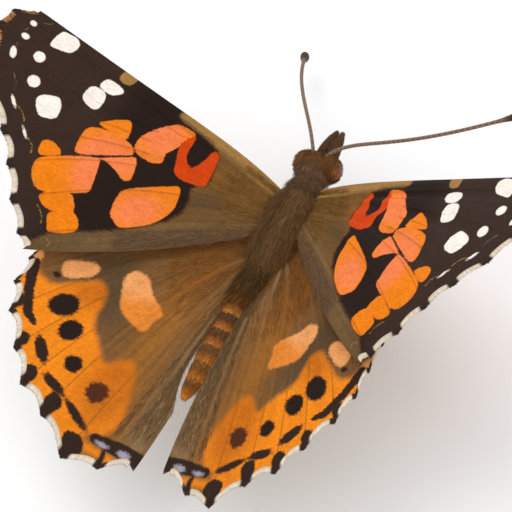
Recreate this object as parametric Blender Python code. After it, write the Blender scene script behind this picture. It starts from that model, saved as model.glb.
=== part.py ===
"""Painted lady butterfly, life size, standing still on the floor with its wings half open.

Each sub-part is one closed solid. The body runs along +Y (head) with +Z up, and the feet
stand at Z = 0. The wings are thin cambered plates whose main veins stand up as low ridges
on both faces. The origin is the middle of the butterfly's length and breadth, on the floor.
"""
import math

import bmesh
import bpy
import numpy as np

# All sizes below are in millimetres. MM turns them into metres when a mesh is made. Pieces
# that meet keep GAP between them, and the slanting wing roots keep ROOT_GAP to the body.
MM = 0.001
GAP = 0.3
ROOT_GAP = 0.38

# Wing hinges: half their distance across the body, and their height above the floor.
HINGE_X = 1.8
HINGE_HEIGHT = 7.3

# Each wing's base behind and below the forewing hinge, then its lift and its twist about
# its own length in degrees, on the left and on the right. The left pair is swung forward
# in its plane and the right pair back by `sweep`, after a small `slip` of its hinge.
FOREWING = {"base": (0.0, 0.0), "lift": (35.0, 26.0), "twist": (4.0, -3.0),
            "sweep": 2.4, "slip": (-0.21, -0.54)}
HINDWING = {"base": (-2.75, -1.0), "lift": (24.0, 22.0), "twist": (-3.5, -3.5),
            "sweep": 1.94, "slip": (-0.37, -0.33)}

# Wing plates: membrane, height of a vein above it, half width of a vein at its foot.
MEMBRANE = 0.5
VEIN_HEIGHT = 0.13
VEIN_FOOT = 0.34
STATIONS = 13
FINE = 5
EASE_STEPS = 3
EASE_PER_STEP = 0.10
LINES_BETWEEN_VEINS = 2

# Guides of a wing, from the front edge to the rear edge, in the flat wing: u runs out from
# the hinge and v runs forward. Each has its v at the root, the point half-way along, the
# point on the margin, and the share of its length where it becomes a raised vein. The
# front and rear edges themselves are no veins (None).
FOREWING_GUIDES = (
    ("costal_edge", 1.70, (10.2, 2.75), (24.6, 3.85), None),
    ("radius", 1.00, (10.6, 1.90), (26.6, 2.8), 0.0),
    ("radius_5", 0.55, (11.2, 1.15), (27.1, 1.0), 0.42),
    ("media_1", 0.20, (11.6, 0.30), (26.1, -1.7), 0.48),
    ("media_2", -0.10, (11.7, -0.75), (24.4, -4.3), 0.48),
    ("media_3", -0.40, (11.2, -1.75), (22.1, -6.5), 0.48),
    ("cubitus_1", -0.70, (10.3, -2.70), (20.2, -8.6), 0.0),
    ("cubitus_2", -1.05, (9.0, -4.20), (18.4, -10.9), 0.35),
    ("anal_2", -1.50, (7.9, -7.00), (16.5, -12.8), 0.0),
    ("hind_edge", -2.20, (7.3, -8.75), (15.3, -13.6), None),
)
HINDWING_GUIDES = (
    ("costal_edge", 0.90, (8.6, 0.50), (15.3, -6.6), None),
    ("subcosta", 0.50, (8.7, -1.50), (15.7, -8.5), 0.0),
    ("sector", 0.12, (8.4, -3.40), (15.8, -10.9), 0.0),
    ("media_1", -0.20, (7.9, -5.00), (15.8, -13.2), 0.45),
    ("media_2", -0.50, (7.3, -6.30), (14.9, -15.5), 0.45),
    ("media_3", -0.80, (6.5, -7.60), (13.0, -18.0), 0.45),
    ("cubitus_1", -1.10, (5.6, -8.80), (11.0, -20.3), 0.45),
    ("cubitus_2", -1.40, (4.5, -9.70), (8.3, -21.7), 0.0),
    ("anal_2", -1.75, (2.5, -11.40), (5.2, -23.9), 0.0),
    ("anal_3", -2.05, (0.5, -12.20), (2.2, -23.4), 0.3),
    ("inner_edge", -2.40, (-1.00, -12.50), (-0.6, -22.3), None),
)
FOREWING_SCALLOP = 0.35
HINDWING_SCALLOP = 0.60
COSTAL_SHOULDER = 0.9

# Camber of the flat wing: how far it is sunk towards its rear edge and towards its tip, and
# how far the fold along the hindwing's inner edge rises beside the abdomen.
CAMBER_SPAN = 25.0
CAMBER_CHORD = 15.0
FOREWING_CAMBER = {"chord": -0.80, "chord_cubed": 0.75, "tip": -0.45, "fold": 0.0}
HINDWING_CAMBER = {"chord": -0.35, "chord_cubed": 0.35, "tip": -0.20, "fold": 1.30}
FOLD_CENTRE = -1.0
FOLD_WIDTH = 2.6
FOLD_FROM = -2.0
FOLD_TO = -9.0

# Body outlines, from front to rear: y, half width, top and bottom from the hinge line, and
# how far the middle lies aside, because the rear of the body points a little to the left.
THORAX = (
    (2.80, 0.95, 0.35, -1.35, 0.0),
    (2.10, 1.50, 0.80, -2.20, 0.0),
    (0.80, 1.88, 1.05, -2.90, 0.0),
    (-1.20, 2.00, 1.05, -3.25, -0.08),
    (-3.30, 1.72, 0.65, -3.15, -0.25),
    (-5.00, 1.20, -0.25, -2.70, -0.38),
)
ABDOMEN = (
    (-5.30, 1.15, -0.35, -2.70, -0.38),
    (-7.60, 1.35, -0.05, -2.85, -0.46),
    (-10.80, 1.35, 0.10, -2.60, -0.50),
    (-14.00, 1.20, 0.15, -2.05, -0.50),
    (-16.70, 0.85, 0.10, -1.45, -0.50),
    (-18.60, 0.30, -0.15, -0.85, -0.50),
)
ABDOMEN_RINGS = 8
RING_SWELL = 0.06

# Head: a round core between the eyes, which are domes on its flat sides.
HEAD_Y = 4.5
HEAD_Z = -0.45
HEAD_RADIUS = 1.38
HEAD_HALF_WIDTH = 0.80
EYE_RADIUS = 1.20
EYE_DEPTH = 1.10

# Feelers, palps and tongue.
ANTENNA_ROOT_ANGLE = 54.0
ANTENNA_ROOT_X = 0.45
ANTENNA_RADIUS = 0.27
CLUB_RADIUS = 0.50
ANTENNA_SPAN = {"left": (-9.27, 11.02, -7.13), "right": (14.48, 9.36, -3.49)}
ANTENNA_BOW = {"left": (-0.71, 0.29, 0.58), "right": (-0.94, -1.75, -0.75)}
PALP_X = 0.66
PALP_RADIUS = 0.52
PALP_TIP = (8.35, -0.95)
TONGUE_CENTRE = (5.70, -3.20)
TONGUE_OUTER = 1.05
TONGUE_PITCH = 0.80
TONGUE_TURNS = 1.05
TONGUE_RADIUS = 0.25

# Legs on the right: hip, knee, ankle and toe as (x, y, height above the floor), then the
# radius at each. The left legs mirror them. The front pair is short and folded up.
LEGS = {
    "front": ((0.85, 1.10, 3.98), (1.15, 3.20, 3.35), (1.10, 2.95, 1.75), (0.95, 1.60, 1.15)),
    "mid": ((1.20, -0.70, 3.64), (4.70, 0.70, 4.70), (6.30, 2.10, 0.55), (8.40, 4.60, 0.19)),
    "hind": ((1.05, -3.00, 3.52), (4.10, -5.90, 5.00), (5.50, -9.60, 0.55), (6.60, -13.60, 0.19)),
}
LEG_RADII = (0.42, 0.33, 0.27, 0.25)
FOOT_FLAT_AT = 0.72

COLOURS = {
    "thorax": (0.085, 0.052, 0.022),
    "abdomen": (0.160, 0.075, 0.022),
    "head": (0.100, 0.060, 0.028),
    "eye": (0.120, 0.040, 0.015),
    "antenna": (0.060, 0.036, 0.022),
    "palp": (0.130, 0.085, 0.045),
    "proboscis": (0.035, 0.016, 0.008),
    "leg": (0.230, 0.160, 0.095),
    "forewing": (0.640, 0.210, 0.045),
    "hindwing": (0.520, 0.190, 0.030),
}


def clear_scene():
    """Remove every object that the new file started with."""
    for thing in list(bpy.data.objects):
        bpy.data.objects.remove(thing, do_unlink=True)


def material(kind):
    """One Principled material per kind of sub-part."""
    name = "butterfly_" + kind
    if name in bpy.data.materials:
        return bpy.data.materials[name]
    made = bpy.data.materials.new(name)
    made.use_nodes = True
    shader = made.node_tree.nodes["Principled BSDF"]
    shader.inputs["Base Color"].default_value = (*COLOURS[kind], 1.0)
    shader.inputs["Roughness"].default_value = 0.25 if kind == "eye" else 0.75
    shader.inputs["Metallic"].default_value = 0.0
    return made


def make_object(name, points, faces, kind):
    """A closed mesh object from points in mm above the floor, with its faces turned out."""
    mesh = bpy.data.meshes.new(name)
    mesh.from_pydata((np.asarray(points) * MM).tolist(), [], faces)
    work = bmesh.new()
    work.from_mesh(mesh)
    bmesh.ops.recalc_face_normals(work, faces=work.faces[:])
    work.to_mesh(mesh)
    work.free()
    mesh.shade_smooth()
    mesh.set_sharp_from_angle(angle=math.radians(40))
    mesh.materials.append(material(kind))
    made = bpy.data.objects.new(name, mesh)
    bpy.context.scene.collection.objects.link(made)
    return made


def smooth_through(stations, count):
    """Rows read at even steps from a smooth curve through the given rows."""
    rows = np.array(stations, float)
    rows = np.vstack([2 * rows[0] - rows[1], rows, 2 * rows[-1] - rows[-2]])
    spans = len(rows) - 3
    places = np.linspace(0, spans, count)
    start = np.minimum(places.astype(int), spans - 1)
    t = (places - start)[:, None]
    a, b, c, d = (rows[start + k] for k in range(4))
    return 0.5 * (2 * b + (c - a) * t + (2 * a - 5 * b + 4 * c - d) * t ** 2
                  + (3 * b - a - 3 * c + d) * t ** 3)


def ring_faces(rings, sides):
    """Side faces of a row of rings, and a flat cap on each end."""
    faces = []
    for r in range(rings - 1):
        for s in range(sides):
            n = (s + 1) % sides
            faces.append((r * sides + s, r * sides + n, (r + 1) * sides + n, (r + 1) * sides + s))
    faces.append(tuple(range(sides))[::-1])
    faces.append(tuple(range((rings - 1) * sides, rings * sides)))
    return faces


def body_reach(y, z, side):
    """How far the body and a gap around it reach to one side at (y, z), or -9 where clear."""
    farthest = np.full(np.shape(y), -9.0)
    for outline in (THORAX, ABDOMEN):
        rows = smooth_through(outline, 60)[::-1]
        half, top, bottom, aside = (np.interp(y, rows[:, 0], rows[:, k]) for k in (1, 2, 3, 4))
        for height in (z - MEMBRANE / 2, z + MEMBRANE / 2):
            across = (height - (top + bottom) / 2) / ((top - bottom) / 2 + ROOT_GAP)
            beside = (y > rows[0, 0] - GAP) & (y < rows[-1, 0] + GAP) & (np.abs(across) < 1)
            reach = (half + ROOT_GAP) * np.sqrt(np.maximum(0.0, 1 - across ** 2)) + side * aside
            farthest = np.where(beside, np.maximum(farthest, reach), farthest)
    return farthest


def body_section(name, outline, rings, sides, swell=0.0):
    """A rounded solid along Y through the outline's rows, with `swell` on each ring."""
    rows = smooth_through(outline, rings)
    turn = (np.arange(sides) + 0.5) * 2 * math.pi / sides
    points = []
    for k, (y, half, top, bottom, aside) in enumerate(rows):
        share = k / (rings - 1) * ABDOMEN_RINGS % 1.0
        grow = 1 + swell * (math.sin(math.pi * share) - 0.5) if 0 < k < rings - 1 else 1.0
        middle, tall = (top + bottom) / 2, (top - bottom) / 2
        for angle in turn:
            points.append((aside + half * grow * math.cos(angle), y,
                           HINGE_HEIGHT + middle + tall * grow * math.sin(angle)))
    return make_object(name, points, ring_faces(rings, sides), name)


def turned_on_x(name, stations, sides, kind):
    """A solid turned about the head's cross axis, from (x, radius) stations."""
    points = []
    for x, radius in stations:
        for s in range(sides):
            angle = 2 * math.pi * s / sides
            points.append((x, HEAD_Y + radius * math.cos(angle),
                           HINGE_HEIGHT + HEAD_Z + radius * math.sin(angle)))
    return make_object(name, points, ring_faces(len(stations), sides), kind)


def build_head():
    """The round core of the head and the two domed eyes."""
    core = []
    for x in np.linspace(-HEAD_HALF_WIDTH, HEAD_HALF_WIDTH, 6):
        core.append((x, HEAD_RADIUS * math.sqrt(1 - (x / 1.9) ** 2)))
    turned_on_x("head", core, 28, "head")
    for side, label in ((-1, "left"), (1, "right")):
        dome = []
        for angle in np.linspace(0, math.radians(84), 7):
            x = HEAD_HALF_WIDTH + GAP + EYE_DEPTH * math.sin(angle)
            dome.append((side * x, EYE_RADIUS * math.cos(angle)))
        turned_on_x("eye_" + label, dome, 24, "eye")


def tube(name, path, radii, sides, kind, across):
    """A round tube along a path. `across` is a direction that its rings keep level with.

    Where a ring would reach below the floor it is flattened there, as a foot is.
    """
    path = np.asarray(path, float)
    along = np.gradient(path, axis=0)
    along /= np.linalg.norm(along, axis=1)[:, None]
    first = across - (along @ across)[:, None] * along
    first /= np.linalg.norm(first, axis=1)[:, None]
    second = np.cross(along, first)
    turn = (np.arange(sides) + 0.5) * 2 * math.pi / sides
    ring = (np.cos(turn)[None, :, None] * first[:, None, :]
            + np.sin(turn)[None, :, None] * second[:, None, :])
    points = path[:, None, :] + np.asarray(radii)[:, None, None] * ring
    points[:, :, 2] = np.maximum(points[:, :, 2], 0.0)
    return make_object(name, points.reshape(-1, 3), ring_faces(len(path), sides), kind)


def build_antennae():
    """Two thin feelers with clubbed ends, from the top of the head."""
    angle = math.radians(ANTENNA_ROOT_ANGLE)
    reach = HEAD_RADIUS + 1.75 * GAP
    for side, label in ((-1, "left"), (1, "right")):
        root = np.array((side * ANTENNA_ROOT_X, HEAD_Y + reach * math.cos(angle),
                         HINGE_HEIGHT + HEAD_Z + reach * math.sin(angle)))
        t = np.linspace(0, 1, 26)[:, None]
        span, bow = np.array(ANTENNA_SPAN[label]), np.array(ANTENNA_BOW[label])
        rise = np.array((0.0, 0.35, 0.6)) * (1 - np.exp(-9 * t))
        path = root + span * t + bow * np.sin(math.pi * t) + rise
        club = np.exp(-((t[:, 0] - 0.95) / 0.075) ** 2)
        radii = ANTENNA_RADIUS + (CLUB_RADIUS - ANTENNA_RADIUS) * club
        radii[-1] = 0.22
        tube("antenna_" + label, path, radii, 8, "antenna", np.array((0.0, 0.0, 1.0)))


def build_palps():
    """The two palps, side by side in front of the face like a short beak."""
    down = math.atan2(PALP_TIP[1] - HEAD_Z, PALP_TIP[0] - HEAD_Y) - 0.18
    reach = HEAD_RADIUS + 1.3 * GAP
    y, z = HEAD_Y + reach * math.cos(down), HEAD_Z + reach * math.sin(down)
    t = np.linspace(0, 1, 9)
    for side, label in ((-1, "left"), (1, "right")):
        path = np.stack([side * (PALP_X - 0.25 * t ** 2), y + (PALP_TIP[0] - y) * t,
                         HINGE_HEIGHT + z + (PALP_TIP[1] - z) * t + 0.12 * np.sin(math.pi * t)], 1)
        radii = PALP_RADIUS * (0.72 + 0.9 * t - 1.45 * t ** 2)
        tube("palp_" + label, path, radii, 8, "palp", np.array((0.0, 0.0, 1.0)))


def build_proboscis():
    """The tongue, coiled below the face in the body's middle plane."""
    t = np.linspace(0, 1, 22)
    angle = math.radians(115) - 2 * math.pi * TONGUE_TURNS * t
    radius = TONGUE_OUTER - TONGUE_PITCH * TONGUE_TURNS * t
    path = np.stack([0 * t, TONGUE_CENTRE[0] + radius * np.cos(angle),
                     HINGE_HEIGHT + TONGUE_CENTRE[1] + radius * np.sin(angle)], 1)
    tube("proboscis", path, TONGUE_RADIUS * (1 - 0.25 * t), 8, "proboscis", np.array((1.0, 0.0, 0.0)))


def build_legs():
    """Three pairs of legs. The two walking pairs end in toes that lie flat on the floor."""
    for pair, joints in LEGS.items():
        points = np.array(joints)
        middle = [(points[k] + points[k + 1]) / 2 for k in range(3)]
        order = [points[0], middle[0], points[1], middle[1], points[2], middle[2], points[3]]
        if pair != "front":
            order[5] = order[5] * (1, 1, 0) + np.array((0, 0, points[3][2]))
        path = smooth_through(order, 22)
        radii = np.interp(np.linspace(0, 3, 22), range(4), LEG_RADII)
        radii[-1] = 0.6 * LEG_RADII[-1]
        if pair != "front":
            level = np.linspace(0, 1, 22) >= FOOT_FLAT_AT
            path[level, 2] = np.minimum(path[level, 2], points[3][2])
        outward = points[3] - points[0]
        for side, label in ((-1, "left"), (1, "right")):
            flip = np.array((side, 1, 1))
            across = np.cross(outward * flip, (0.0, 0.0, 1.0))
            tube(f"leg_{pair}_{label}", path * flip, radii, 8, "leg",
                 across / np.linalg.norm(across))


def camber(u, v, sizes):
    """How far the flat wing is bowed at (u, v)."""
    span, chord = u / CAMBER_SPAN, v / CAMBER_CHORD
    along = np.clip((v - FOLD_FROM) / (FOLD_TO - FOLD_FROM), 0, 1)
    fold = np.exp(-((u - FOLD_CENTRE) / FOLD_WIDTH) ** 2) * along ** 2 * (3 - 2 * along)
    return (sizes["chord"] * chord ** 2 + sizes["chord_cubed"] * chord ** 3
            + sizes["tip"] * span * chord ** 2 + sizes["tip"] * span ** 3 + sizes["fold"] * fold)


def wing_axes(wing, side):
    """Directions out along a wing, forward across it and up from it, for its side."""
    which = 0 if side < 0 else 1
    lift, twist = math.radians(wing["lift"][which]), math.radians(wing["twist"][which])
    out = np.array((math.cos(lift), 0.0, math.sin(lift)))
    level_up = np.array((-math.sin(lift), 0.0, math.cos(lift)))
    forward = math.cos(twist) * np.array((0.0, 1.0, 0.0)) + math.sin(twist) * level_up
    return out, forward, np.cross(out, forward)


def swung(curve, wing, side):
    """Flat (u, v) points turned about the hinge by the sweep and moved by the slip."""
    turn = math.radians(-side * wing["sweep"])
    spin = np.array(((math.cos(turn), math.sin(turn)), (-math.sin(turn), math.cos(turn))))
    return curve @ spin - side * np.array(wing["slip"])


def clear_of_body(curve, wing, side, bow):
    """Flat (u, v) points, moved out along the wing where they would come too near the body.

    A point also gives way for its neighbours, so that the edge leaves the body gently.
    """
    out, forward, up = wing_axes(wing, side)
    base_y, base_z = wing["base"]
    steps = np.arange(len(curve))
    apart = np.abs(steps[:, None] - steps)
    for _ in range(3):
        moved = swung(curve, wing, side)
        x, y, z = (np.array((HINGE_X, base_y, base_z)) + moved @ np.stack((out, forward))
                   + camber(*curve.T, bow)[:, None] * up).T
        needed = body_reach(y, z, side) - EASE_PER_STEP * np.maximum(0, apart - EASE_STEPS)
        curve[:, 0] += np.maximum(needed.max(axis=1) - x, 0) / out[0]
    return curve


def guide_curves(guides, wing, side, bow):
    """The guides' (u, v) points at every station, kept a gap away from the body."""
    t = np.linspace(0, 1, (STATIONS - 1) * FINE + 1) ** 0.9
    weight = ((1 - t) * (1 - 2 * t), 4 * t * (1 - t), t * (2 * t - 1))
    curves = []
    for name, root_v, middle, end, _ in guides:
        root = clear_of_body(np.array(((-0.4, root_v),)), wing, side, bow)[0]
        rows = (root, middle, end)
        curve = sum(w[:, None] * np.array(row, float) for w, row in zip(weight, rows))
        if name == "costal_edge":
            curve[:, 1] += COSTAL_SHOULDER * np.sin(math.pi * t) * (1 - t) ** 2
        curves.append(clear_of_body(curve, wing, side, bow)[::FINE])
    return curves


def wing_lines(guides, curves, scallop):
    """All grid lines of a wing: each vein's crest and two feet, and lines between veins.

    Returns the lines' (u, v) points, and the height of the ridge along each.
    """
    t = np.linspace(0, 1, STATIONS)
    flat = np.zeros(STATIONS)
    inner = np.linspace(0, 1, LINES_BETWEEN_VEINS + 2)[:, None]
    lines, ridges = [], []
    for k in range(len(guides) - 1):
        here, there = curves[k], curves[k + 1]
        rises, next_rises = guides[k][4], guides[k + 1][4]
        foot = np.minimum(VEIN_FOOT / np.linalg.norm(there - here, axis=1), 0.27)
        start = flat if rises is None else foot
        stop = flat + 1 if next_rises is None else 1 - foot
        shares = list(start + (stop - start) * inner)
        if rises is not None:
            shares.insert(0, flat)
        if next_rises is None:
            shares.pop()
        for row, share in enumerate(shares):
            line = here + (there - here) * share[:, None]
            inward = (line[-2] - line[-1]) / np.linalg.norm(line[-2] - line[-1])
            pull = scallop * math.sin(math.pi * share[-1]) * t ** 4
            lines.append(line + pull[:, None] * inward)
            raised = row == 0 and rises is not None
            ridges.append(VEIN_HEIGHT * np.clip((t - rises) / 0.1, 0, 1) if raised else flat)
    lines.append(curves[-1])
    ridges.append(flat)
    return np.array(lines), np.array(ridges)


def build_wing(name, guides, wing, side, scallop, bow):
    """One wing plate with its vein ridges, alike on both faces."""
    curves = guide_curves(guides, wing, side, bow)
    lines, ridges = wing_lines(guides, curves, scallop)
    count = len(lines)
    moved = swung(lines, wing, side)
    out, forward, up = wing_axes(wing, side)
    base_y, base_z = wing["base"]
    middle = (np.array((HINGE_X, base_y, HINGE_HEIGHT + base_z)) + moved[..., :1] * out
              + moved[..., 1:] * forward
              + camber(lines[..., 0], lines[..., 1], bow)[..., None] * up)
    half = (MEMBRANE / 2 + ridges)[..., None] * up
    flip = np.array((side, 1, 1))
    points = np.concatenate([((middle + half) * flip).reshape(-1, 3),
                             ((middle - half) * flip).reshape(-1, 3)])
    low = count * STATIONS
    faces = []
    for i in range(count - 1):
        for j in range(STATIONS - 1):
            a, b = i * STATIONS + j, i * STATIONS + j + 1
            c, d = b + STATIONS, a + STATIONS
            for one in ((a, b, c), (a, c, d)):
                faces.append(one)
                faces.append(tuple(p + low for p in one[::-1]))
    rim = [i * STATIONS for i in range(count)]
    rim += [(count - 1) * STATIONS + j for j in range(1, STATIONS)]
    rim += [i * STATIONS + STATIONS - 1 for i in range(count - 2, -1, -1)]
    rim += list(range(STATIONS - 2, 0, -1))
    for a, b in zip(rim, rim[1:] + rim[:1]):
        faces.append((a, b, b + low, a + low))
    return make_object(name, points, faces, name.split("_")[0])


def build_wings():
    """Both pairs of wings, each wing turned about its own hinge."""
    for side, label in ((-1, "left"), (1, "right")):
        build_wing("forewing_" + label, FOREWING_GUIDES, FOREWING, side,
                   FOREWING_SCALLOP, FOREWING_CAMBER)
        build_wing("hindwing_" + label, HINDWING_GUIDES, HINDWING, side,
                   HINDWING_SCALLOP, HINDWING_CAMBER)


def centre_on_origin():
    """Move all meshes so that the origin is the middle of their box, on the floor."""
    corners = []
    for thing in bpy.data.objects:
        at = np.array([point.co[:] for point in thing.data.vertices])
        corners += [at.min(axis=0), at.max(axis=0)]
    low, high = np.min(corners, axis=0), np.max(corners, axis=0)
    shift = -(low + high) / 2
    shift[2] = -low[2]
    for thing in bpy.data.objects:
        for point in thing.data.vertices:
            point.co.x += shift[0]
            point.co.y += shift[1]
            point.co.z += shift[2]


def main():
    clear_scene()
    body_section("thorax", THORAX, 20, 20)
    body_section("abdomen", ABDOMEN, 4 * ABDOMEN_RINGS + 1, 18, RING_SWELL)
    build_head()
    build_antennae()
    build_palps()
    build_proboscis()
    build_legs()
    build_wings()
    centre_on_origin()


main()
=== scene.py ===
# %% [markdown]
# # A painted lady butterfly, life size
#
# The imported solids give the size, the pose and the place of every sub-part. This script
# dresses them: thin veined wings covered in scales, a hairy body, ringed feelers, faceted
# eyes and six legs. Every form is a numpy surface, and every colour is worked out from the
# marks that this species carries.

# %% Load the frame
import math

import bpy
import numpy as np
from mathutils import Matrix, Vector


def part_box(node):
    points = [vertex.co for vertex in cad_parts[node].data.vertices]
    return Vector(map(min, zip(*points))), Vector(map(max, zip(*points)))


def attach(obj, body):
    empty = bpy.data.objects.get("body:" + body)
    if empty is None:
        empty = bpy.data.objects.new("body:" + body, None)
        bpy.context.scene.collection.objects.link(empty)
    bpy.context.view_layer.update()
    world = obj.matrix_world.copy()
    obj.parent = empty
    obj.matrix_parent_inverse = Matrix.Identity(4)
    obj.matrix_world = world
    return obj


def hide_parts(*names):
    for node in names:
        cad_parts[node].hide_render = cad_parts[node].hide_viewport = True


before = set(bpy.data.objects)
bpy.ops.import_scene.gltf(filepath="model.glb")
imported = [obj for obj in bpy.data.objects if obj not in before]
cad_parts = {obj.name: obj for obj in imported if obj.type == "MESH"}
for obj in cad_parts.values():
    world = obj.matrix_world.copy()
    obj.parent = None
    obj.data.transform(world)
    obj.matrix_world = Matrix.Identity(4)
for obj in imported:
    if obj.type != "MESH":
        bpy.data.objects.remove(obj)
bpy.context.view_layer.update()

# %% [markdown]
# ## Units and the body's own axes
#
# The numbers could be written in the frame's metres, but a butterfly is easier to describe
# from the line of its wing hinges: x runs out to its right, y runs forward, z runs up, all
# in millimetres. `place` moves such points to the frame's metres. The thorax solid says
# where the hinge line is.

# %% Body axes
MM = 0.001
THORAX_FRONT = 2.80
HINGE_HEIGHT = 7.30
SIDES = {-1: "left", 1: "right"}
head_box, thorax_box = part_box("head"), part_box("thorax")
HINGE = np.array(((head_box[0].x + head_box[1].x) / 2, thorax_box[1].y - THORAX_FRONT * MM,
                  HINGE_HEIGHT * MM))
print("hinge line at", HINGE.round(5))


def place(points):
    """Body millimetres to frame metres: the point times 0.001, plus the hinge's place."""
    return np.asarray(points, float) * MM + HINGE


# %% Colours, chance and soft steps
def tone(code):
    """A hex sRGB colour as linear red, green and blue: ((c + 0.055) / 1.055) to the 2.4."""
    value = np.array([int(code[k:k + 2], 16) / 255 for k in (0, 2, 4)])
    return np.where(value <= 0.04045, value / 12.92, ((value + 0.055) / 1.055) ** 2.4)


def chance(seed):
    """A seeded random source, so that each run gives the same butterfly."""
    return np.random.default_rng(seed)


def ease(value, start, stop):
    """0 below start, 1 above stop, and 3t^2 - 2t^3 between them."""
    t = np.clip((value - start) / (stop - start), 0, 1)
    return t * t * (3 - 2 * t)


def blend(first, second, share):
    """first * (1 - share) + second * share, for colours on many points."""
    share = np.asarray(share)[..., None]
    return np.asarray(first) * (1 - share) + np.asarray(second) * share


print("orange in linear light:", tone("E98508").round(3))


# %% [markdown]
# ## From arrays to a mesh
#
# `foreach_set` hands whole arrays to Blender, which is far quicker than adding vertices
# one by one. The faces come as one flat row of corners and the count of corners of each.

# %% Make a piece
def make_piece(name, points, faces, materials, face_material=None, fields=None, uv=None):
    """A mesh object riding on the root body. `faces` is a list of index arrays (n, 3 or 4)."""
    mesh = bpy.data.meshes.new(name)
    corners = np.concatenate([part.ravel() for part in faces]).astype(np.int32)
    sizes = np.concatenate([np.full(len(part), part.shape[1]) for part in faces])
    starts = np.concatenate([[0], np.cumsum(sizes)[:-1]]).astype(np.int32)
    mesh.vertices.add(len(points))
    mesh.vertices.foreach_set("co", place(points).astype(np.float32).ravel())
    mesh.loops.add(len(corners))
    mesh.loops.foreach_set("vertex_index", corners)
    mesh.polygons.add(len(sizes))
    mesh.polygons.foreach_set("loop_start", starts)
    mesh.update(calc_edges=True)
    mesh.polygons.foreach_set("use_smooth", np.ones(len(sizes), bool))
    for material in materials:
        mesh.materials.append(material)
    if face_material is not None:
        mesh.polygons.foreach_set("material_index", face_material.astype(np.int32))
    for key, values in (fields or {}).items():
        add_field(mesh, key, np.asarray(values, np.float32))
    if uv is not None:
        layer = mesh.uv_layers.new(name="OFBake")
        layer.data.foreach_set("uv", uv[corners].astype(np.float32).ravel())
    piece = bpy.data.objects.new(name, mesh)
    bpy.context.scene.collection.objects.link(piece)
    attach(piece, "root")
    print(f"{name}: {len(points)} points, {int((sizes - 2).sum())} triangles")
    return piece


def add_field(mesh, key, values):
    """Stores one number, one vector or one colour per point under a name."""
    if values.ndim == 1:
        mesh.attributes.new(key, "FLOAT", "POINT").data.foreach_set("value", values)
    else:
        full = np.concatenate([values, np.ones((len(values), 1), np.float32)], 1)
        mesh.attributes.new(key, "FLOAT_COLOR", "POINT").data.foreach_set("color", full.ravel())


# %% Grids, tubes and smooth rows
def unit(vectors):
    """Each vector over its own length."""
    return vectors / np.linalg.norm(vectors, axis=-1, keepdims=True)


def grid_faces(rows, columns, wrap=False):
    """Quads between neighbouring rows and columns; `wrap` also joins the last column on."""
    r, c = np.meshgrid(np.arange(rows - 1), np.arange(columns - (not wrap)), indexing="ij")
    a, b = r * columns + c, r * columns + (c + 1) % columns
    return np.stack([a, b, b + columns, a + columns], -1).reshape(-1, 4)


def pole_caps(rings, sides):
    """Triangles that close a tube at both ends; its two poles come after the rings' points."""
    s = np.arange(sides)
    n = (s + 1) % sides
    pole, last = np.full(sides, rings * sides), (rings - 1) * sides
    return np.concatenate([np.stack([pole, n, s], 1),
                           np.stack([pole + 1, last + s, last + n], 1)])


def smooth_rows(rows, count):
    """A Catmull-Rom curve through rows of numbers, read at `count` even steps."""
    rows = np.array(rows, float)
    rows = np.vstack([2 * rows[0] - rows[1], rows, 2 * rows[-1] - rows[-2]])
    spans = len(rows) - 3
    at = np.linspace(0, spans, count)
    k = np.clip(at.astype(int), 0, spans - 1)
    t = (at - k)[:, None]
    a, b, c, d = (rows[k + n] for n in range(4))
    return 0.5 * (2 * b + (c - a) * t + (2 * a - 5 * b + 4 * c - d) * t ** 2
                  + (3 * b - a - 3 * c + d) * t ** 3)


def ring_frame(path, across):
    """Unit vectors along, across and above a path: across stays level with `across`."""
    along = unit(np.gradient(path, axis=0))
    first = unit(across - (along @ across)[:, None] * along)
    return along, first, np.cross(along, first)


def swept(path, radius, sides, across, flatten=1.0):
    """A round tube: path + radius (cos a * first + flatten * sin a * second), poles closed.

    Returns its points, faces, and each point's share of the way along the path.
    """
    _, first, second = ring_frame(path, np.asarray(across, float))
    turn = np.arange(sides) * 2 * math.pi / sides
    ring = (np.cos(turn)[None, :, None] * first[:, None]
            + flatten * np.sin(turn)[None, :, None] * second[:, None])
    body = (path[:, None] + np.asarray(radius)[:, None, None] * ring).reshape(-1, 3)
    share = np.concatenate([np.repeat(np.linspace(0, 1, len(path)), sides), [0, 1]])
    return (np.vstack([body, path[:1], path[-1:]]),
            [grid_faces(len(path), sides, wrap=True), pole_caps(len(path), sides)], share)


print("rows between two stations:", smooth_rows([(0, 0), (1, 1)], 3).tolist())


# %% [markdown]
# ## Material helpers
#
# A material is a small graph of nodes. Written out, each node and each link takes a line of
# its own. `Graph` keeps that short: a call adds a node, plugs in what it is given and
# returns its output.

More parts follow.
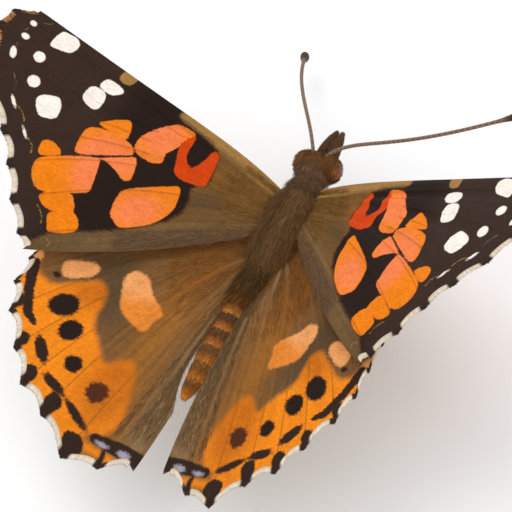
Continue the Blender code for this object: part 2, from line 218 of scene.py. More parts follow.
# %% Node graph helper
class Graph:
    """Builds one Principled material, node by node."""

    def __init__(self, name, roughness, **sockets):
        """A new material; `sockets` sets constants on the shader's own inputs."""
        self.material = bpy.data.materials.new(name)
        self.material.use_nodes = True
        self.tree = self.material.node_tree
        self.shader = self.tree.nodes["Principled BSDF"]
        self.shader.inputs["Roughness"].default_value = roughness
        for key, value in sockets.items():
            self.shader.inputs[key.replace("_", " ")].default_value = value

    def node(self, kind, inputs=(), output=0, **settings):
        """Adds a node; `inputs` maps socket names or numbers to values or other outputs."""
        made = self.tree.nodes.new("ShaderNode" + kind)
        for key, value in settings.items():
            setattr(made, key, value)
        for key, value in dict(inputs).items():
            if isinstance(value, bpy.types.NodeSocket):
                self.tree.links.new(value, made.inputs[key])
            else:
                made.inputs[key].default_value = value
        return made.outputs[output]

    def field(self, key, output="Fac"):
        """Reads a stored field of the mesh."""
        return self.node("Attribute", output=output, attribute_name=key)

    def sums(self, operation, first, second=0.0, third=0.0):
        """One step of arithmetic on numbers, named as in the Math node."""
        return self.node("Math", {0: first, 1: second, 2: third}, operation=operation)

    def mix(self, share, first, second):
        """A colour mix of first and second; plain colours may be given as three numbers."""
        ends = [value if isinstance(value, bpy.types.NodeSocket) else (*value, 1.0)
                for value in (first, second)]
        return self.node("MixRGB", {"Fac": share, "Color1": ends[0], "Color2": ends[1]})

    def ramp(self, value, low, high):
        """0 below low and 1 above high, smoothly."""
        return self.node("MapRange", {"Value": value, "From Min": low, "From Max": high},
                         interpolation_type="SMOOTHSTEP")

    def scaled(self, colour, factor):
        """A colour times a number that changes over the surface."""
        return self.node("VectorMath", {0: colour, "Scale": factor}, operation="SCALE")

    def noise(self, scale, detail=2.0):
        """Noise with about `scale` patches to the metre, on Object coordinates."""
        where = self.node("TexCoord", output="Object")
        return self.node("TexNoise", {"Vector": where, "Scale": scale, "Detail": detail})

    def plug(self, output, socket):
        """Joins an output to one of the shader's inputs."""
        self.tree.links.new(output, self.shader.inputs[socket])

    def bump(self, height, strength, distance, **settings):
        """Lets a height raise the surface by up to `distance` metres, as far as light goes."""
        normal = self.node("Bump", {"Height": height, "Strength": strength,
                                    "Distance": distance}, **settings)
        self.plug(normal, "Normal")


print("graph helper ready")

# %% [markdown]
# ## Outline of the body
#
# A butterfly's head, thorax and abdomen are separate plates under one coat of hair. They
# could be three shapes pushed together, but then seams show at the neck and the waist. So
# they are one skin here: a row of stations along the body, inside the solids by the depth
# of the hair. It comes first, because the wings grow out of it.

# %% Stations of the body skin
FAR = 9.0
# Each row: y, half width, top, bottom, and how far the middle lies aside.
BODY_ROWS = (
    (5.72, 0.10, -0.35, -0.62, 0.0), (5.55, 0.80, 0.15, -1.10, 0.0),
    (5.10, 1.30, 0.62, -1.52, 0.0), (4.40, 1.52, 0.84, -1.72, 0.0),
    (3.60, 1.38, 0.66, -1.52, 0.0), (3.10, 1.16, 0.45, -1.36, 0.0),
    (2.60, 1.22, 0.50, -1.62, 0.0), (1.90, 1.44, 0.70, -2.15, 0.0),
    (0.70, 1.62, 0.85, -2.62, 0.0), (-1.20, 1.74, 0.85, -2.95, -0.08),
    (-3.30, 1.56, 0.50, -2.85, -0.25), (-4.80, 1.22, -0.15, -2.50, -0.36),
    (-5.30, 1.16, -0.28, -2.52, -0.38), (-6.30, 1.24, -0.15, -2.68, -0.42),
    (-7.60, 1.30, -0.08, -2.78, -0.46), (-10.80, 1.30, 0.04, -2.53, -0.50),
    (-14.00, 1.10, 0.05, -1.95, -0.50), (-16.70, 0.76, 0.00, -1.36, -0.50),
    (-18.10, 0.38, -0.10, -1.00, -0.50), (-18.55, 0.06, -0.42, -0.56, -0.50),
)


def skin_reach(y, z, side):
    """How far the skin reaches to one side at (y, z): its ellipse there, or -FAR where clear."""
    rows = smooth_rows(BODY_ROWS, 400)[::-1]
    half, top, bottom, aside = (np.interp(y, rows[:, 0], rows[:, k]) for k in (1, 2, 3, 4))
    across = (z - (top + bottom) / 2) / ((top - bottom) / 2)
    reach = half * np.sqrt(np.maximum(0, 1 - across ** 2)) + side * aside
    return np.where((np.abs(across) < 1) & (y > rows[0, 0]), reach, -FAR)


print("thorax half width by the hinge:",
      skin_reach(np.array([0.0]), np.array([-0.5]), 1).round(2))

# %% [markdown]
# ## Wing plan
#
# A wing is drawn flat first. `u` runs out from the hinge and `v` runs forward. Its outline
# could be filled with an even grid, but that would cut across the veins. Here each guide is
# a vein or an edge: a parabola through its root, the point half-way and its end on the
# margin. Everything between two guides is filled smoothly, so the surface follows the
# veins as the real membrane does.

# %% Sizes of the wings
# Each guide: v at the root, the point half-way, the end, and where its vein starts.
HINGE_X = 1.8
FOREWING = {
    "name": "forewing", "base": (0.0, 0.0), "lift": (35.0, 26.0), "twist": (4.0, -3.0),
    "sweep": 2.4, "slip": (-0.21, -0.54), "scallop": 0.35, "fringe": 0.42,
    "camber": (-0.80, 0.75, -0.45, 0.0),
    "guides": (
        (1.70, (10.2, 2.75), (24.6, 3.85), None),
        (1.00, (10.6, 1.90), (26.6, 2.8), 0.0),
        (0.55, (11.2, 1.15), (27.1, 1.0), 0.42),
        (0.20, (11.6, 0.30), (26.1, -1.7), 0.48),
        (-0.10, (11.7, -0.75), (24.4, -4.3), 0.48),
        (-0.40, (11.2, -1.75), (22.1, -6.5), 0.48),
        (-0.70, (10.3, -2.70), (20.2, -8.6), 0.0),
        (-1.05, (9.0, -4.20), (18.4, -10.9), 0.35),
        (-1.50, (7.9, -7.00), (16.5, -12.8), 0.0),
        (-2.20, (7.3, -8.75), (15.3, -13.6), None),
    ),
}
HINDWING = {
    "name": "hindwing", "base": (-2.75, -1.0), "lift": (24.0, 22.0), "twist": (-3.5, -3.5),
    "sweep": 1.94, "slip": (-0.37, -0.33), "scallop": 0.60, "fringe": 0.45,
    "camber": (-0.35, 0.35, -0.20, 0.80),
    "guides": (
        (0.90, (8.6, 0.50), (15.3, -6.6), None),
        (0.50, (8.7, -1.50), (15.7, -8.5), 0.0),
        (0.12, (8.4, -3.40), (15.8, -10.9), 0.0),
        (-0.20, (7.9, -5.00), (15.8, -13.2), 0.45),
        (-0.50, (7.3, -6.30), (14.9, -15.5), 0.45),
        (-0.80, (6.5, -7.60), (13.0, -18.0), 0.45),
        (-1.10, (5.6, -8.80), (11.0, -20.3), 0.45),
        (-1.40, (4.5, -9.70), (8.3, -21.7), 0.0),
        (-1.75, (2.5, -11.40), (5.2, -23.9), 0.0),
        (-2.05, (0.5, -12.20), (2.2, -23.4), 0.3),
        (-2.40, (-1.00, -12.50), (-0.6, -22.3), None),
    ),
}
LINES_PER_CELL = 15
STEPS_ALONG = 150
ROOT_U = -1.2
ROOT_DEPTH = 0.25
BODY_GAP = 0.08
FRONT_SHOULDER = 0.9
MEMBRANE_HALF = 0.07
VEIN_RISE = 0.085
VEIN_WIDTH = 0.17
PLEAT = 0.10
print("guides:", len(FOREWING["guides"]), "and", len(HINDWING["guides"]))


# %% Axes and camber of a wing
def wing_axes(wing, side):
    """Unit vectors out, forward and up of a wing: lifted about Y, then twisted about out."""
    which = 0 if side < 0 else 1
    lift, twist = math.radians(wing["lift"][which]), math.radians(wing["twist"][which])
    out = np.array((math.cos(lift), 0.0, math.sin(lift)))
    level_up = np.array((-math.sin(lift), 0.0, math.cos(lift)))
    forward = math.cos(twist) * np.array((0.0, 1.0, 0.0)) + math.sin(twist) * level_up
    return out, forward, np.cross(out, forward)


def camber(wing, u, v):
    """Bow of the wing: a c^2 + b c^3 + t s c^2 + t s^3 + fold, with s = u / 25, c = v / 15.

    The fold f exp(-((u + 1) / 2.6)^2) raises the inner edge beside the abdomen.
    """
    chord2, chord3, tip, fold = wing["camber"]
    s, c = u / 25.0, v / 15.0
    beside = fold * np.exp(-((u + 1.0) / 2.6) ** 2) * ease(-v, 2.0, 9.0)
    return chord2 * c ** 2 + chord3 * c ** 3 + tip * s * c ** 2 + tip * s ** 3 + beside


def on_wing(wing, side, u, v, height):
    """Body millimetres of a point `height` above the flat wing's (u, v).

    The flat point is turned about the hinge by the sweep and moved by the slip. Then it is
    base + u out + v forward + (camber + height) up, and x changes sign on the left.
    """
    out, forward, up = wing_axes(wing, side)
    turn = math.radians(-side * wing["sweep"])
    swung_u = u * math.cos(turn) - v * math.sin(turn) - side * wing["slip"][0]
    swung_v = u * math.sin(turn) + v * math.cos(turn) - side * wing["slip"][1]
    base = np.array((HINGE_X, *wing["base"]))
    points = (base + swung_u[..., None] * out + swung_v[..., None] * forward
              + (camber(wing, u, v) + height)[..., None] * up)
    return points * (side, 1, 1)


print("forewing directions on the right:", np.round(wing_axes(FOREWING, 1), 2).tolist())


# %% The vein-aligned grid
GIVE_PER_STEP = 0.035
GIVE_FREELY = 5


def clear_of_body(curve, wing, side, gap):
    """Flat points moved out along the wing where they come nearer the skin than `gap`.

    A point also gives way for its neighbours, by their need less GIVE_PER_STEP mm for each
    step between them beyond GIVE_FREELY, so that an edge leaves the body gently.
    """
    steps = np.arange(len(curve))
    give = GIVE_PER_STEP * np.maximum(0, np.abs(steps[:, None] - steps) - GIVE_FREELY)
    for _ in range(3):
        x, y, z = (on_wing(wing, side, *curve.T, 0 * steps) * (side, 1, 1)).T
        needed = (skin_reach(y, z, side) + gap - give).max(axis=1)
        curve[:, 0] += np.maximum(needed - x, 0) / wing_axes(wing, side)[0][0]
    return curve


def wing_plan(wing, side):
    """The flat wing as arrays (lines, steps): u, v, and fields that the finish reads.

    A guide is root (1-t)(1-2t) + middle 4t(1-t) + end t(2t-1). Lines between guides are a
    Catmull-Rom blend, pulled in at the margin by scallop * sin(pi * share) * t^4. `vein` is
    the distance to the nearest vein, and `edge` the distance left to the margin.
    """
    t = np.linspace(0, 1, STEPS_ALONG)
    weight = ((1 - t) * (1 - 2 * t), 4 * t * (1 - t), t * (2 * t - 1))
    guides = []
    for k, (root_v, middle, end, _) in enumerate(wing["guides"]):
        root = clear_of_body(np.array(((ROOT_U, root_v),)), wing, side, -ROOT_DEPTH)[0]
        rows = np.array((root, middle, end), float)
        line = sum(w[:, None] * row for w, row in zip(weight, rows))
        if k == 0:
            line[:, 1] += FRONT_SHOULDER * np.sin(math.pi * t) * (1 - t) ** 2
        gap = (ROOT_DEPTH + BODY_GAP) * ease(t, 0.02, 0.14) - ROOT_DEPTH
        guides.append(clear_of_body(line, wing, side, gap))
    guides = np.array(guides)
    cells = len(guides) - 1
    flat = smooth_rows(guides.reshape(cells + 1, -1), cells * LINES_PER_CELL + 1)
    flat = flat.reshape(-1, STEPS_ALONG, 2)
    at = np.linspace(0, cells, len(flat))
    cell = np.minimum(at.astype(int), cells - 1)
    share = at - cell
    inward = unit(flat[:, -4] - flat[:, -1])
    pull = wing["scallop"] * np.sin(math.pi * share) + wing["fringe"] * fringe_share(at, cells)
    flat = flat + (pull[:, None] * t ** 4)[..., None] * inward[:, None]
    apart = np.linalg.norm(guides[1:] - guides[:-1], axis=2)[cell]
    starts = np.array([2.0 if g[3] is None else g[3] for g in wing["guides"]])
    near = np.full(apart.shape, FAR)
    for step in (0, 1):
        away = np.abs(share - step)[:, None] * apart
        away = away + FAR * (t[None] < starts[cell + step][:, None])
        near = np.minimum(near, away)
    steps = np.linalg.norm(np.diff(flat, axis=1), axis=2)
    edge = np.concatenate([np.cumsum(steps[:, ::-1], axis=1)[:, ::-1],
                           np.zeros((len(flat), 1))], 1)
    return {"u": flat[..., 0], "v": flat[..., 1], "vein": near, "edge": edge,
            "share": np.repeat(share[:, None], STEPS_ALONG, 1), "cell": cell, "t": t, "at": at}


def fringe_share(at, cells):
    """1 along the outer margin, falling to 0 at the front edge and at the rear edge."""
    return ease(at, 0.0, 0.5) * (1 - ease(at, cells - 0.4, cells))


def plan_at(plan, at, t):
    """The flat point at guide number `at` and share `t` along it, blended from the grid."""
    flat = np.stack([plan["u"], plan["v"]], -1)
    row, step = np.asarray(at) * LINES_PER_CELL, np.asarray(t) * (STEPS_ALONG - 1)
    r = np.clip(row.astype(int), 0, len(flat) - 2)
    s = np.clip(step.astype(int), 0, STEPS_ALONG - 2)
    a, b = (row - r)[:, None], (step - s)[:, None]
    near = flat[r, s] * (1 - b) + flat[r, s + 1] * b
    far = flat[r + 1, s] * (1 - b) + flat[r + 1, s + 1] * b
    return near * (1 - a) + far * a


# %% [markdown]
# ## Marks as distances
#
# Wing marks are often painted as a picture. Here each mark is a short outline, an ellipse
# or a stroke in the flat wing's millimetres. Its signed distance is stored on the mesh:
# below 0 inside, above 0 outside. The material cuts that distance at 0, so an edge stays
# crisp however coarse the mesh is, and each scale can shift its own cut a little, which
# gives the fine toothed edge of real wing marks.

# %% Distance to outlines, ellipses and strokes
def to_segment(p, a, b):
    """Distance from points to the line from a to b, and the share of the way along it."""
    a, b = np.array(a, float), np.array(b, float)
    share = np.clip(((p - a) @ (b - a)) / ((b - a) @ (b - a)), 0, 1)
    return np.linalg.norm(p - (a + share[..., None] * (b - a)), axis=-1), share


def rounded(corners, steps=5):
    """A smooth closed line through the corners, as cubic Hermite curves.

    The slope at a corner runs along the line between its neighbours, and is as long as the
    shorter edge beside it.
    """
    here = np.array(corners, float)
    after = np.roll(here, -1, axis=0) - here
    before = np.roll(after, 1, axis=0)
    short = np.minimum(np.linalg.norm(before, axis=1), np.linalg.norm(after, axis=1))
    slope = before + after
    slope *= (short / np.maximum(np.linalg.norm(slope, axis=1), 1e-6))[:, None]
    there, next_slope = here + after, np.roll(slope, -1, axis=0)
    t = np.arange(steps)[:, None, None] / steps
    curve = ((2 * t ** 3 - 3 * t ** 2 + 1) * here + (t ** 3 - 2 * t ** 2 + t) * slope
             + (3 * t ** 2 - 2 * t ** 3) * there + (t ** 3 - t ** 2) * next_slope)
    return curve.transpose(1, 0, 2).reshape(-1, 2)


def outline(p, corners):
    """Signed distance to a smooth closed line: least edge distance, sign from ray crossings."""
    line = rounded(corners)
    least = np.full(p.shape[:-1], 10 * FAR)
    inside = np.zeros(p.shape[:-1], bool)
    for a, b in zip(line, np.roll(line, -1, axis=0)):
        least = np.minimum(least, to_segment(p, a, b)[0])
        crosses = (a[1] > p[..., 1]) != (b[1] > p[..., 1])
        rise = b[1] - a[1] if b[1] != a[1] else 1e-9
        inside ^= crosses & (p[..., 0] < (b[0] - a[0]) * (p[..., 1] - a[1]) / rise + a[0])
    return np.where(inside, -least, least)


def ellipse(p, centre, radii, turn=0.0):
    """(|q| - 1) * shorter radius, where q is the point turned and divided by the radii."""
    angle = math.radians(turn)
    d = p - np.array(centre)
    q = np.stack([(d[..., 0] * math.cos(angle) + d[..., 1] * math.sin(angle)) / radii[0],
                  (d[..., 1] * math.cos(angle) - d[..., 0] * math.sin(angle)) / radii[1]], -1)
    return (np.linalg.norm(q, axis=-1) - 1) * min(radii)


def stroke(p, a, b, wide_a, wide_b):
    """Distance to a segment less a half width that goes from wide_a to wide_b."""
    distance, share = to_segment(p, a, b)
    return distance - (wide_a + (wide_b - wide_a) * share)


def union(p, marks):
    """The least signed distance of many marks, each a tuple of its function and numbers."""
    least = np.full(p.shape[:-1], FAR)
    for mark, *numbers in marks:
        least = np.minimum(least, mark(p, *numbers))
    return least


def soft(p, centre, radii, turn=0.0):
    """A round patch that fades out: exp(-q^2) with q as in `ellipse`."""
    return np.exp(-(ellipse(p, centre, radii, turn) / min(radii) + 1) ** 2)


print("middle of a unit square:", outline(np.array([[0.5, 0.5]]),
                                           [(0, 0), (1, 0), (1, 1), (0, 1)]))

# %% Marks of the forewing
FORE_DARK = [
    (outline, [(10.4, 2.6), (8.8, 2.2), (7.1, 2.0), (6.0, 1.4), (5.5, -1.1), (6.4, -2.2),
               (6.0, -3.9), (6.9, -5.8), (9.9, -8.6), (14.0, -11.3), (15.0, -12.6),
               (16.0, -15.0), (30.0, -15.0), (30.0, 8.0), (10.4, 8.0)]),
]
FORE_ORANGE = [
    (outline, [(15.8, -4.8), (16.3, -3.4), (16.1, -2.5), (15.2, -2.0), (13.7, -1.7),
               (12.3, -1.9), (12.0, -2.5)]),
    (outline, [(15.6, -1.6), (13.6, -0.1), (13.0, -1.5), (13.4, -1.8), (14.9, -1.8)]),
    (outline, [(12.1, -1.9), (12.1, -0.6), (11.3, 0.6), (10.1, 1.8), (8.6, 1.9), (8.5, 1.5),
               (9.1, 0.3), (9.7, -0.9), (9.6, -1.6), (10.0, -2.0), (10.9, -2.2)]),
    (outline, [(14.0, -4.1), (11.7, -2.5), (11.3, -2.9), (11.0, -4.3), (11.5, -4.7),
               (12.3, -4.4), (13.4, -4.1)]),
    (outline, [(18.2, -6.8), (14.2, -4.2), (13.8, -4.6), (13.3, -6.7), (13.4, -7.1),
               (16.9, -9.0)]),
    (outline, [(18.3, -6.5), (18.7, -5.6), (18.3, -5.1), (17.5, -5.1), (16.9, -5.6)]),
    (outline, [(16.5, -9.2), (14.5, -7.9), (13.8, -8.4), (13.6, -8.9), (15.0, -9.8),
               (16.0, -9.8)]),
    (outline, [(15.1, -10.1), (13.6, -9.0), (12.5, -10.2), (14.3, -11.4), (14.8, -10.9)]),
    (outline, [(11.0, -7.4), (11.0, -5.3), (7.5, -2.7), (7.1, -2.9), (6.8, -4.6),
               (7.7, -6.5), (9.6, -8.1), (10.4, -7.9)]),
]
FORE_RED = [
    (outline, [(9.1, 0.4), (8.8, 1.4), (8.3, 1.6), (8.2, -0.1), (7.4, -0.6), (6.8, 0.4),
               (6.5, 1.5), (5.9, 1.3), (5.6, -1.3), (6.3, -1.8), (8.1, -2.0), (8.8, -0.7)]),
]
FORE_BLACK = [(ellipse, (7.6, 0.6), (0.66, 1.35), -4.0)]
FORE_WHITE = [
    (outline, [(22.5, 1.8), (22.2, 3.3), (21.5, 3.5), (20.8, 3.5), (20.3, 3.0), (20.6, 2.1),
               (21.5, 1.8)]),
    (outline, [(21.0, -2.5), (19.6, -1.6), (18.9, -2.1), (18.7, -3.2), (19.3, -3.7),
               (20.2, -3.8)]),
    (outline, [(18.0, -0.4), (17.7, 0.7), (16.4, 0.7), (16.2, -0.5), (16.7, -1.0),
               (17.7, -0.8)]),
    (outline, [(17.3, 1.1), (16.9, 2.0), (15.3, 1.8), (15.8, 0.9), (16.8, 0.8)]),
    (ellipse, (21.9, -1.6), (0.60, 0.56)),
    (ellipse, (22.6, 0.4), (0.56, 0.52)),
    (ellipse, (24.5, 2.6), (0.36, 0.30)),
    (ellipse, (24.5, 1.3), (0.42, 0.34)),
    (ellipse, (24.6, -0.4), (0.34, 0.62), -25.0),
    (ellipse, (22.4, -3.9), (0.78, 0.20), 42.0),
    (ellipse, (20.3, -5.6), (0.74, 0.18), 42.0),
]
FORE_TAN = [(outline, [(16.2, 2.5), (15.8, 3.6), (14.9, 3.5), (15.2, 2.4)])]
FORE_PINK = (((14.2, -3.2), (1.7, 0.9), -30.0), ((10.6, 0.2), (1.7, 1.7), 0.0),
             ((12.2, -3.7), (1.3, 0.9), -30.0), ((14.3, -5.9), (1.1, 1.6), -30.0),
             ((9.3, -6.2), (1.9, 1.2), -40.0))

# %% Marks of the hindwing
HIND_ORANGE = [
    (outline, [(3.1, -20.8), (2.3, -19.4), (2.8, -16.8), (3.4, -15.0), (4.2, -14.3),
               (5.7, -15.4), (6.2, -15.4), (7.1, -14.4), (8.1, -13.4), (8.5, -12.4),
               (8.6, -10.5), (9.8, -9.8), (12.8, -11.7), (14.5, -11.4), (15.0, -10.3),
               (17.5, -10.0), (18.0, -15.0), (14.0, -22.0), (6.0, -26.0), (4.2, -24.0),
               (4.3, -21.4)]),
    (stroke, (4.2, -22.1), (0.1, -22.4), 0.30, 0.26),
]
HIND_PALE = [
    (outline, [(8.1, -8.6), (7.6, -7.6), (6.4, -7.6), (5.4, -8.7), (3.9, -9.7), (4.2, -10.5),
               (4.6, -11.8), (6.5, -11.4), (7.3, -10.7)]),
    (outline, [(13.0, -10.2), (12.8, -9.5), (11.0, -8.6), (10.2, -8.9), (10.6, -9.9),
               (12.3, -10.8)]),
    (outline, [(16.3, -11.4), (16.3, -10.1), (15.0, -9.8), (14.9, -10.8)]),
]
HIND_DARK = [
    (stroke, (15.1, -11.0), (14.4, -13.0), 0.50, 0.42),
    (stroke, (14.4, -13.0), (13.5, -14.8), 0.42, 0.40),
    (stroke, (13.5, -14.8), (12.5, -15.4), 0.40, 0.22),
    (ellipse, (10.9, -17.0), (1.25, 0.50), 46.0),
    (ellipse, (8.6, -19.0), (1.25, 0.42), 20.0),
    (ellipse, (5.8, -20.3), (1.60, 0.36), 28.0),
    (stroke, (16.8, -13.5), (15.4, -11.5), 0.20, 0.52),
    (stroke, (15.7, -16.2), (14.6, -14.3), 0.20, 0.60),
    (stroke, (13.4, -18.6), (12.7, -16.9), 0.20, 0.58),
    (stroke, (11.5, -21.1), (10.8, -19.1), 0.28, 0.72),
    (stroke, (8.5, -22.2), (7.9, -20.3), 0.28, 0.76),
    (outline, [(5.5, -24.3), (5.9, -22.2), (5.6, -21.6), (4.4, -21.7), (3.9, -22.8),
               (4.7, -24.3)]),
    (stroke, (3.5, -21.25), (1.2, -21.25), 0.42, 0.62),
    (stroke, (1.2, -21.25), (-1.2, -21.6), 0.62, 0.62),
    (stroke, (2.3, -21.8), (2.2, -23.2), 0.16, 0.34),
    (ellipse, (13.0, -10.95), (0.34, 0.26)),
]
HIND_SPOTS = [
    (ellipse, (11.2, -12.95), (1.30, 0.96), -28.0),
    (ellipse, (9.65, -14.5), (1.02, 0.88), -40.0),
    (ellipse, (8.05, -16.85), (0.76, 0.70)),
]
HIND_BROWN_SPOT = [(ellipse, (5.2, -17.95), (0.95, 0.88), -30.0)]
HIND_VIOLET = [
    (ellipse, (2.75, -21.45), (0.56, 0.22)),
    (ellipse, (0.75, -21.50), (0.58, 0.30), 8.0),
]
print("marks:", len(FORE_ORANGE), "orange and", len(FORE_WHITE), "white on the forewing")

# %% [markdown]
# ## Ground colours
#
# Under the sharp marks the wing changes colour softly: brown and hairy by the body, tan
# along the front edge, grey along the rear edge of the forewing and the inner edge of the
# hindwing. Mixed in the material, each of these would need a mask of its own. They belong
# to places on the wing, so they are worked out on the points as one plain colour field.

# %% Ground of the upper side
BROWN, OLIVE, RUST = tone("6E4C22"), tone("675033"), tone("8A4C12")
TAN, DUSK, HAIR_GREY = tone("96703C"), tone("553F26"), tone("7A6040")
AMBER, HIND_BROWN = tone("8C581C"), tone("77512A")


def fore_ground(p):
    """Brown base, tan front edge by distance from the edge line, broad grey rear strip."""
    u, v = p[..., 0], p[..., 1]
    colour = blend(BROWN, RUST, 0.5 * soft(p, (4.0, -0.2), (2.5, 0.8), -8.0))
    front = v - np.interp(u, (0, 5, 10, 15, 24), (1.6, 2.6, 2.9, 2.8, 3.8))
    colour = blend(colour, TAN, ease(front, -1.3, -0.3) * (1 - ease(u, 12.5, 14.5)))
    rear = np.minimum(stroke(p, (0.5, -2.4), (7.3, -8.3), 0.0, 0.0),
                      stroke(p, (7.3, -8.3), (15.6, -13.4), 0.0, 0.0))
    colour = blend(colour, DUSK, 0.8 * soft(p, (5.0, -2.6), (2.4, 1.0), -36.0))
    strip = blend(OLIVE, DUSK, 0.7 * ease(u, 9.0, 15.5))
    return blend(colour, strip, 0.85 * (1 - ease(rear, 0.3, 2.3)))


def hind_ground(p):
    """Brown base, dusky middle, amber streaks to the tail corner, grey hairy inner edge."""
    u, v = p[..., 0], p[..., 1]
    dusky = np.clip(soft(p, (9.2, -10.0), (3.0, 3.6), -30.0) * 1.5, 0, 1)
    colour = blend(HIND_BROWN, DUSK, dusky)
    colour = blend(colour, DUSK, ease(v, -8.0, -2.0) * 0.6 * ease(u, 4, 9))
    rusty = np.clip(1.4 * soft(p, (3.0, -4.5), (1.3, 3.6), 12.0), 0, 1)
    colour = blend(colour, RUST, 0.65 * rusty)
    amber = np.exp(-((u - np.interp(v, (-21, -14, -8), (2.9, 3.6, 3.3))) / 1.5) ** 2)
    colour = blend(colour, AMBER, 0.75 * amber * (1 - ease(v, -9, -6)))
    inner = u - np.interp(v, (-22, -14, -4), (0.9, 0.2, 0.0))
    return blend(colour, HAIR_GREY, 0.85 * (1 - ease(inner, -0.4, 1.4)))


# %% Ground of the underside
BUFF, SAND, CREAM = tone("B08E62"), tone("CDB591"), tone("EADCC0")
ROSE, UMBER = tone("E2886A"), tone("7A5C3C")
# Each row: centre, radii and turn of a soft patch, and its colour.
HIND_UNDER_PATCHES = (
    (((4.5, -3.5), (2.6, 1.2), -20), UMBER), (((8.5, -7.0), (1.5, 2.6), -40), UMBER),
    (((5.0, -9.0), (1.6, 2.4), 30), UMBER), (((11.5, -8.0), (1.3, 1.8), 10), UMBER),
    (((3.0, -14.0), (1.2, 2.6), 10), UMBER), (((7.0, -12.6), (2.2, 0.9), -40), UMBER),
    (((7.2, -4.6), (1.0, 2.2), -50), CREAM), (((9.0, -10.4), (3.6, 0.8), -42), CREAM),
    (((3.4, -11.8), (0.7, 3.2), 10), CREAM), (((12.6, -6.0), (0.8, 2.0), 0), CREAM),
)


def fore_under_ground(p):
    """Rose in the middle, buff tip, pale rear edge, as the folded wing shows."""
    u, v = p[..., 0], p[..., 1]
    colour = blend(ROSE, SAND, 1 - ease(u, 1.0, 5.0))
    colour = blend(colour, BUFF, ease(u + 0.5 * v, 17.5, 20.5))
    return blend(colour, SAND, 1 - ease(stroke(p, (1, -2.2), (15, -12.6), 0, 0), 0.3, 2.0))


def hind_under_ground(p):
    """Mottled umber, buff and sand patches between pale bars, as soft round patches."""
    colour = blend(BUFF, BUFF, np.zeros(p.shape[:-1]))
    for patch, patch_colour in HIND_UNDER_PATCHES:
        colour = blend(colour, patch_colour, 0.9 * soft(p, *patch))
    return colour


# %% [markdown]
# ## Underside marks
#
# The underside could be left plain, since the photo shows only the upper side, but a model
# is also looked at from below. So it follows the species: the forewing repeats its black
# and white marks on rose, and the hindwing has a row of ringed eyespots, white veins and a
# thin double line along the margin. The same outlines and ellipses serve here too.

# %% Marks of the underside
UNDER_FORE_DARK = [
    (outline, [(12.6, 2.6), (12.4, 0.4), (11.2, 1.0), (9.8, 2.4), (10.0, 5.0), (15.5, 5.0),
               (16.0, 0.6), (16.4, -1.4), (14.0, -1.0)]),
    (outline, [(9.7, -1.2), (8.6, -2.2), (9.0, -3.2), (11.1, -4.6), (11.2, -3.0),
               (10.2, -2.3)]),
    (outline, [(13.2, -4.6), (11.6, -5.2), (11.4, -8.0), (12.2, -9.6), (13.2, -8.6),
               (12.9, -6.6)]),
    (ellipse, (7.6, 0.6), (0.60, 1.25), -4.0),
    (outline, [(18.8, -1.2), (17.0, -2.0), (17.4, -4.4), (19.0, -6.4), (19.6, -4.6)]),
]
EYESPOTS = (((12.9, -9.3), 0.60), ((11.4, -12.6), 1.05), ((9.7, -14.6), 0.72),
            ((8.0, -16.8), 0.66), ((5.6, -18.3), 1.00))
UNDER_RING, UNDER_IRIS, UNDER_PUPIL = (
    [(ellipse, centre, (size * long, size * short), -30.0) for centre, size in EYESPOTS]
    for long, short in ((1.35, 1.2), (1.0, 0.9), (0.5, 0.45)))
print("eyespots below:", len(EYESPOTS))


# %% [markdown]
# ## Wing materials
#
# Two coats of scales cover a butterfly's wing like roof tiles. Millions of real scales as
# meshes would be too many. A Voronoi pattern on the flat wing, stretched along it, gives
# one cell per scale instead: each cell shifts the marks' edges, varies the colour and
# lifts the surface a little.

# %% Scale pattern shared by all wing materials
SCALES_PER_MM = 8.0
SCALE_STRETCH = 0.50
SCALE_TURN = math.radians(22)


def scale_cells(graph):
    """Random colour and height of each scale, from cells stretched along the wing."""
    flat = graph.field("flat", "Vector")
    laid = graph.node("Mapping", {"Vector": flat, "Rotation": (0, 0, SCALE_TURN),
                                  "Scale": (SCALES_PER_MM * SCALE_STRETCH, SCALES_PER_MM, 1)})
    cell = {"Vector": laid, "Scale": 1.0}
    tint = graph.node("TexVoronoi", cell, output="Color")
    rim = graph.node("TexVoronoi", cell, output="Distance")
    part = graph.node("SeparateColor", {0: tint})
    return part, rim


def cut(graph, field, chance_part, ragged=0.07, soft_edge=0.055):
    """1 where a signed distance, shifted scale by scale, is inside."""
    shift = graph.sums("MULTIPLY_ADD", chance_part, ragged, -ragged / 2)
    moved = graph.sums("ADD", graph.field(field), shift)
    return graph.ramp(moved, soft_edge, -soft_edge)


def streaky(graph, colour, amount):
    """Light and dark streaks along the veins, as the long hair of a wing's base lies."""
    fan = graph.node("TexNoise", {"Vector": graph.field("fan", "Vector"), "Scale": 1.0,
                                  "Detail": 5.0, "Roughness": 0.65})
    bright = graph.sums("MULTIPLY_ADD", fan, 2 * amount, 1 - amount)
    return graph.scaled(colour, bright)


def finish_wing(graph, colour, part, rim):
    """Varies each scale, then sets colour, bump and the soft gloss of dry scales."""
    value = graph.ramp(part, 0.0, 1.0)
    bright = graph.sums("MULTIPLY_ADD", value, 0.18, 0.92)
    patchy = graph.node("TexNoise", {"Vector": graph.field("flat", "Vector"), "Scale": 1.1,
                                     "Detail": 3.0})
    bright = graph.sums("MULTIPLY", bright, graph.sums("MULTIPLY_ADD", patchy, 0.26, 0.87))
    graph.plug(graph.scaled(colour, bright), "Base Color")
    height = graph.sums("MULTIPLY_ADD", rim, -0.6, graph.sums("MULTIPLY", part, 0.4))
    graph.bump(height, 0.22, 0.00003)
    return graph.material


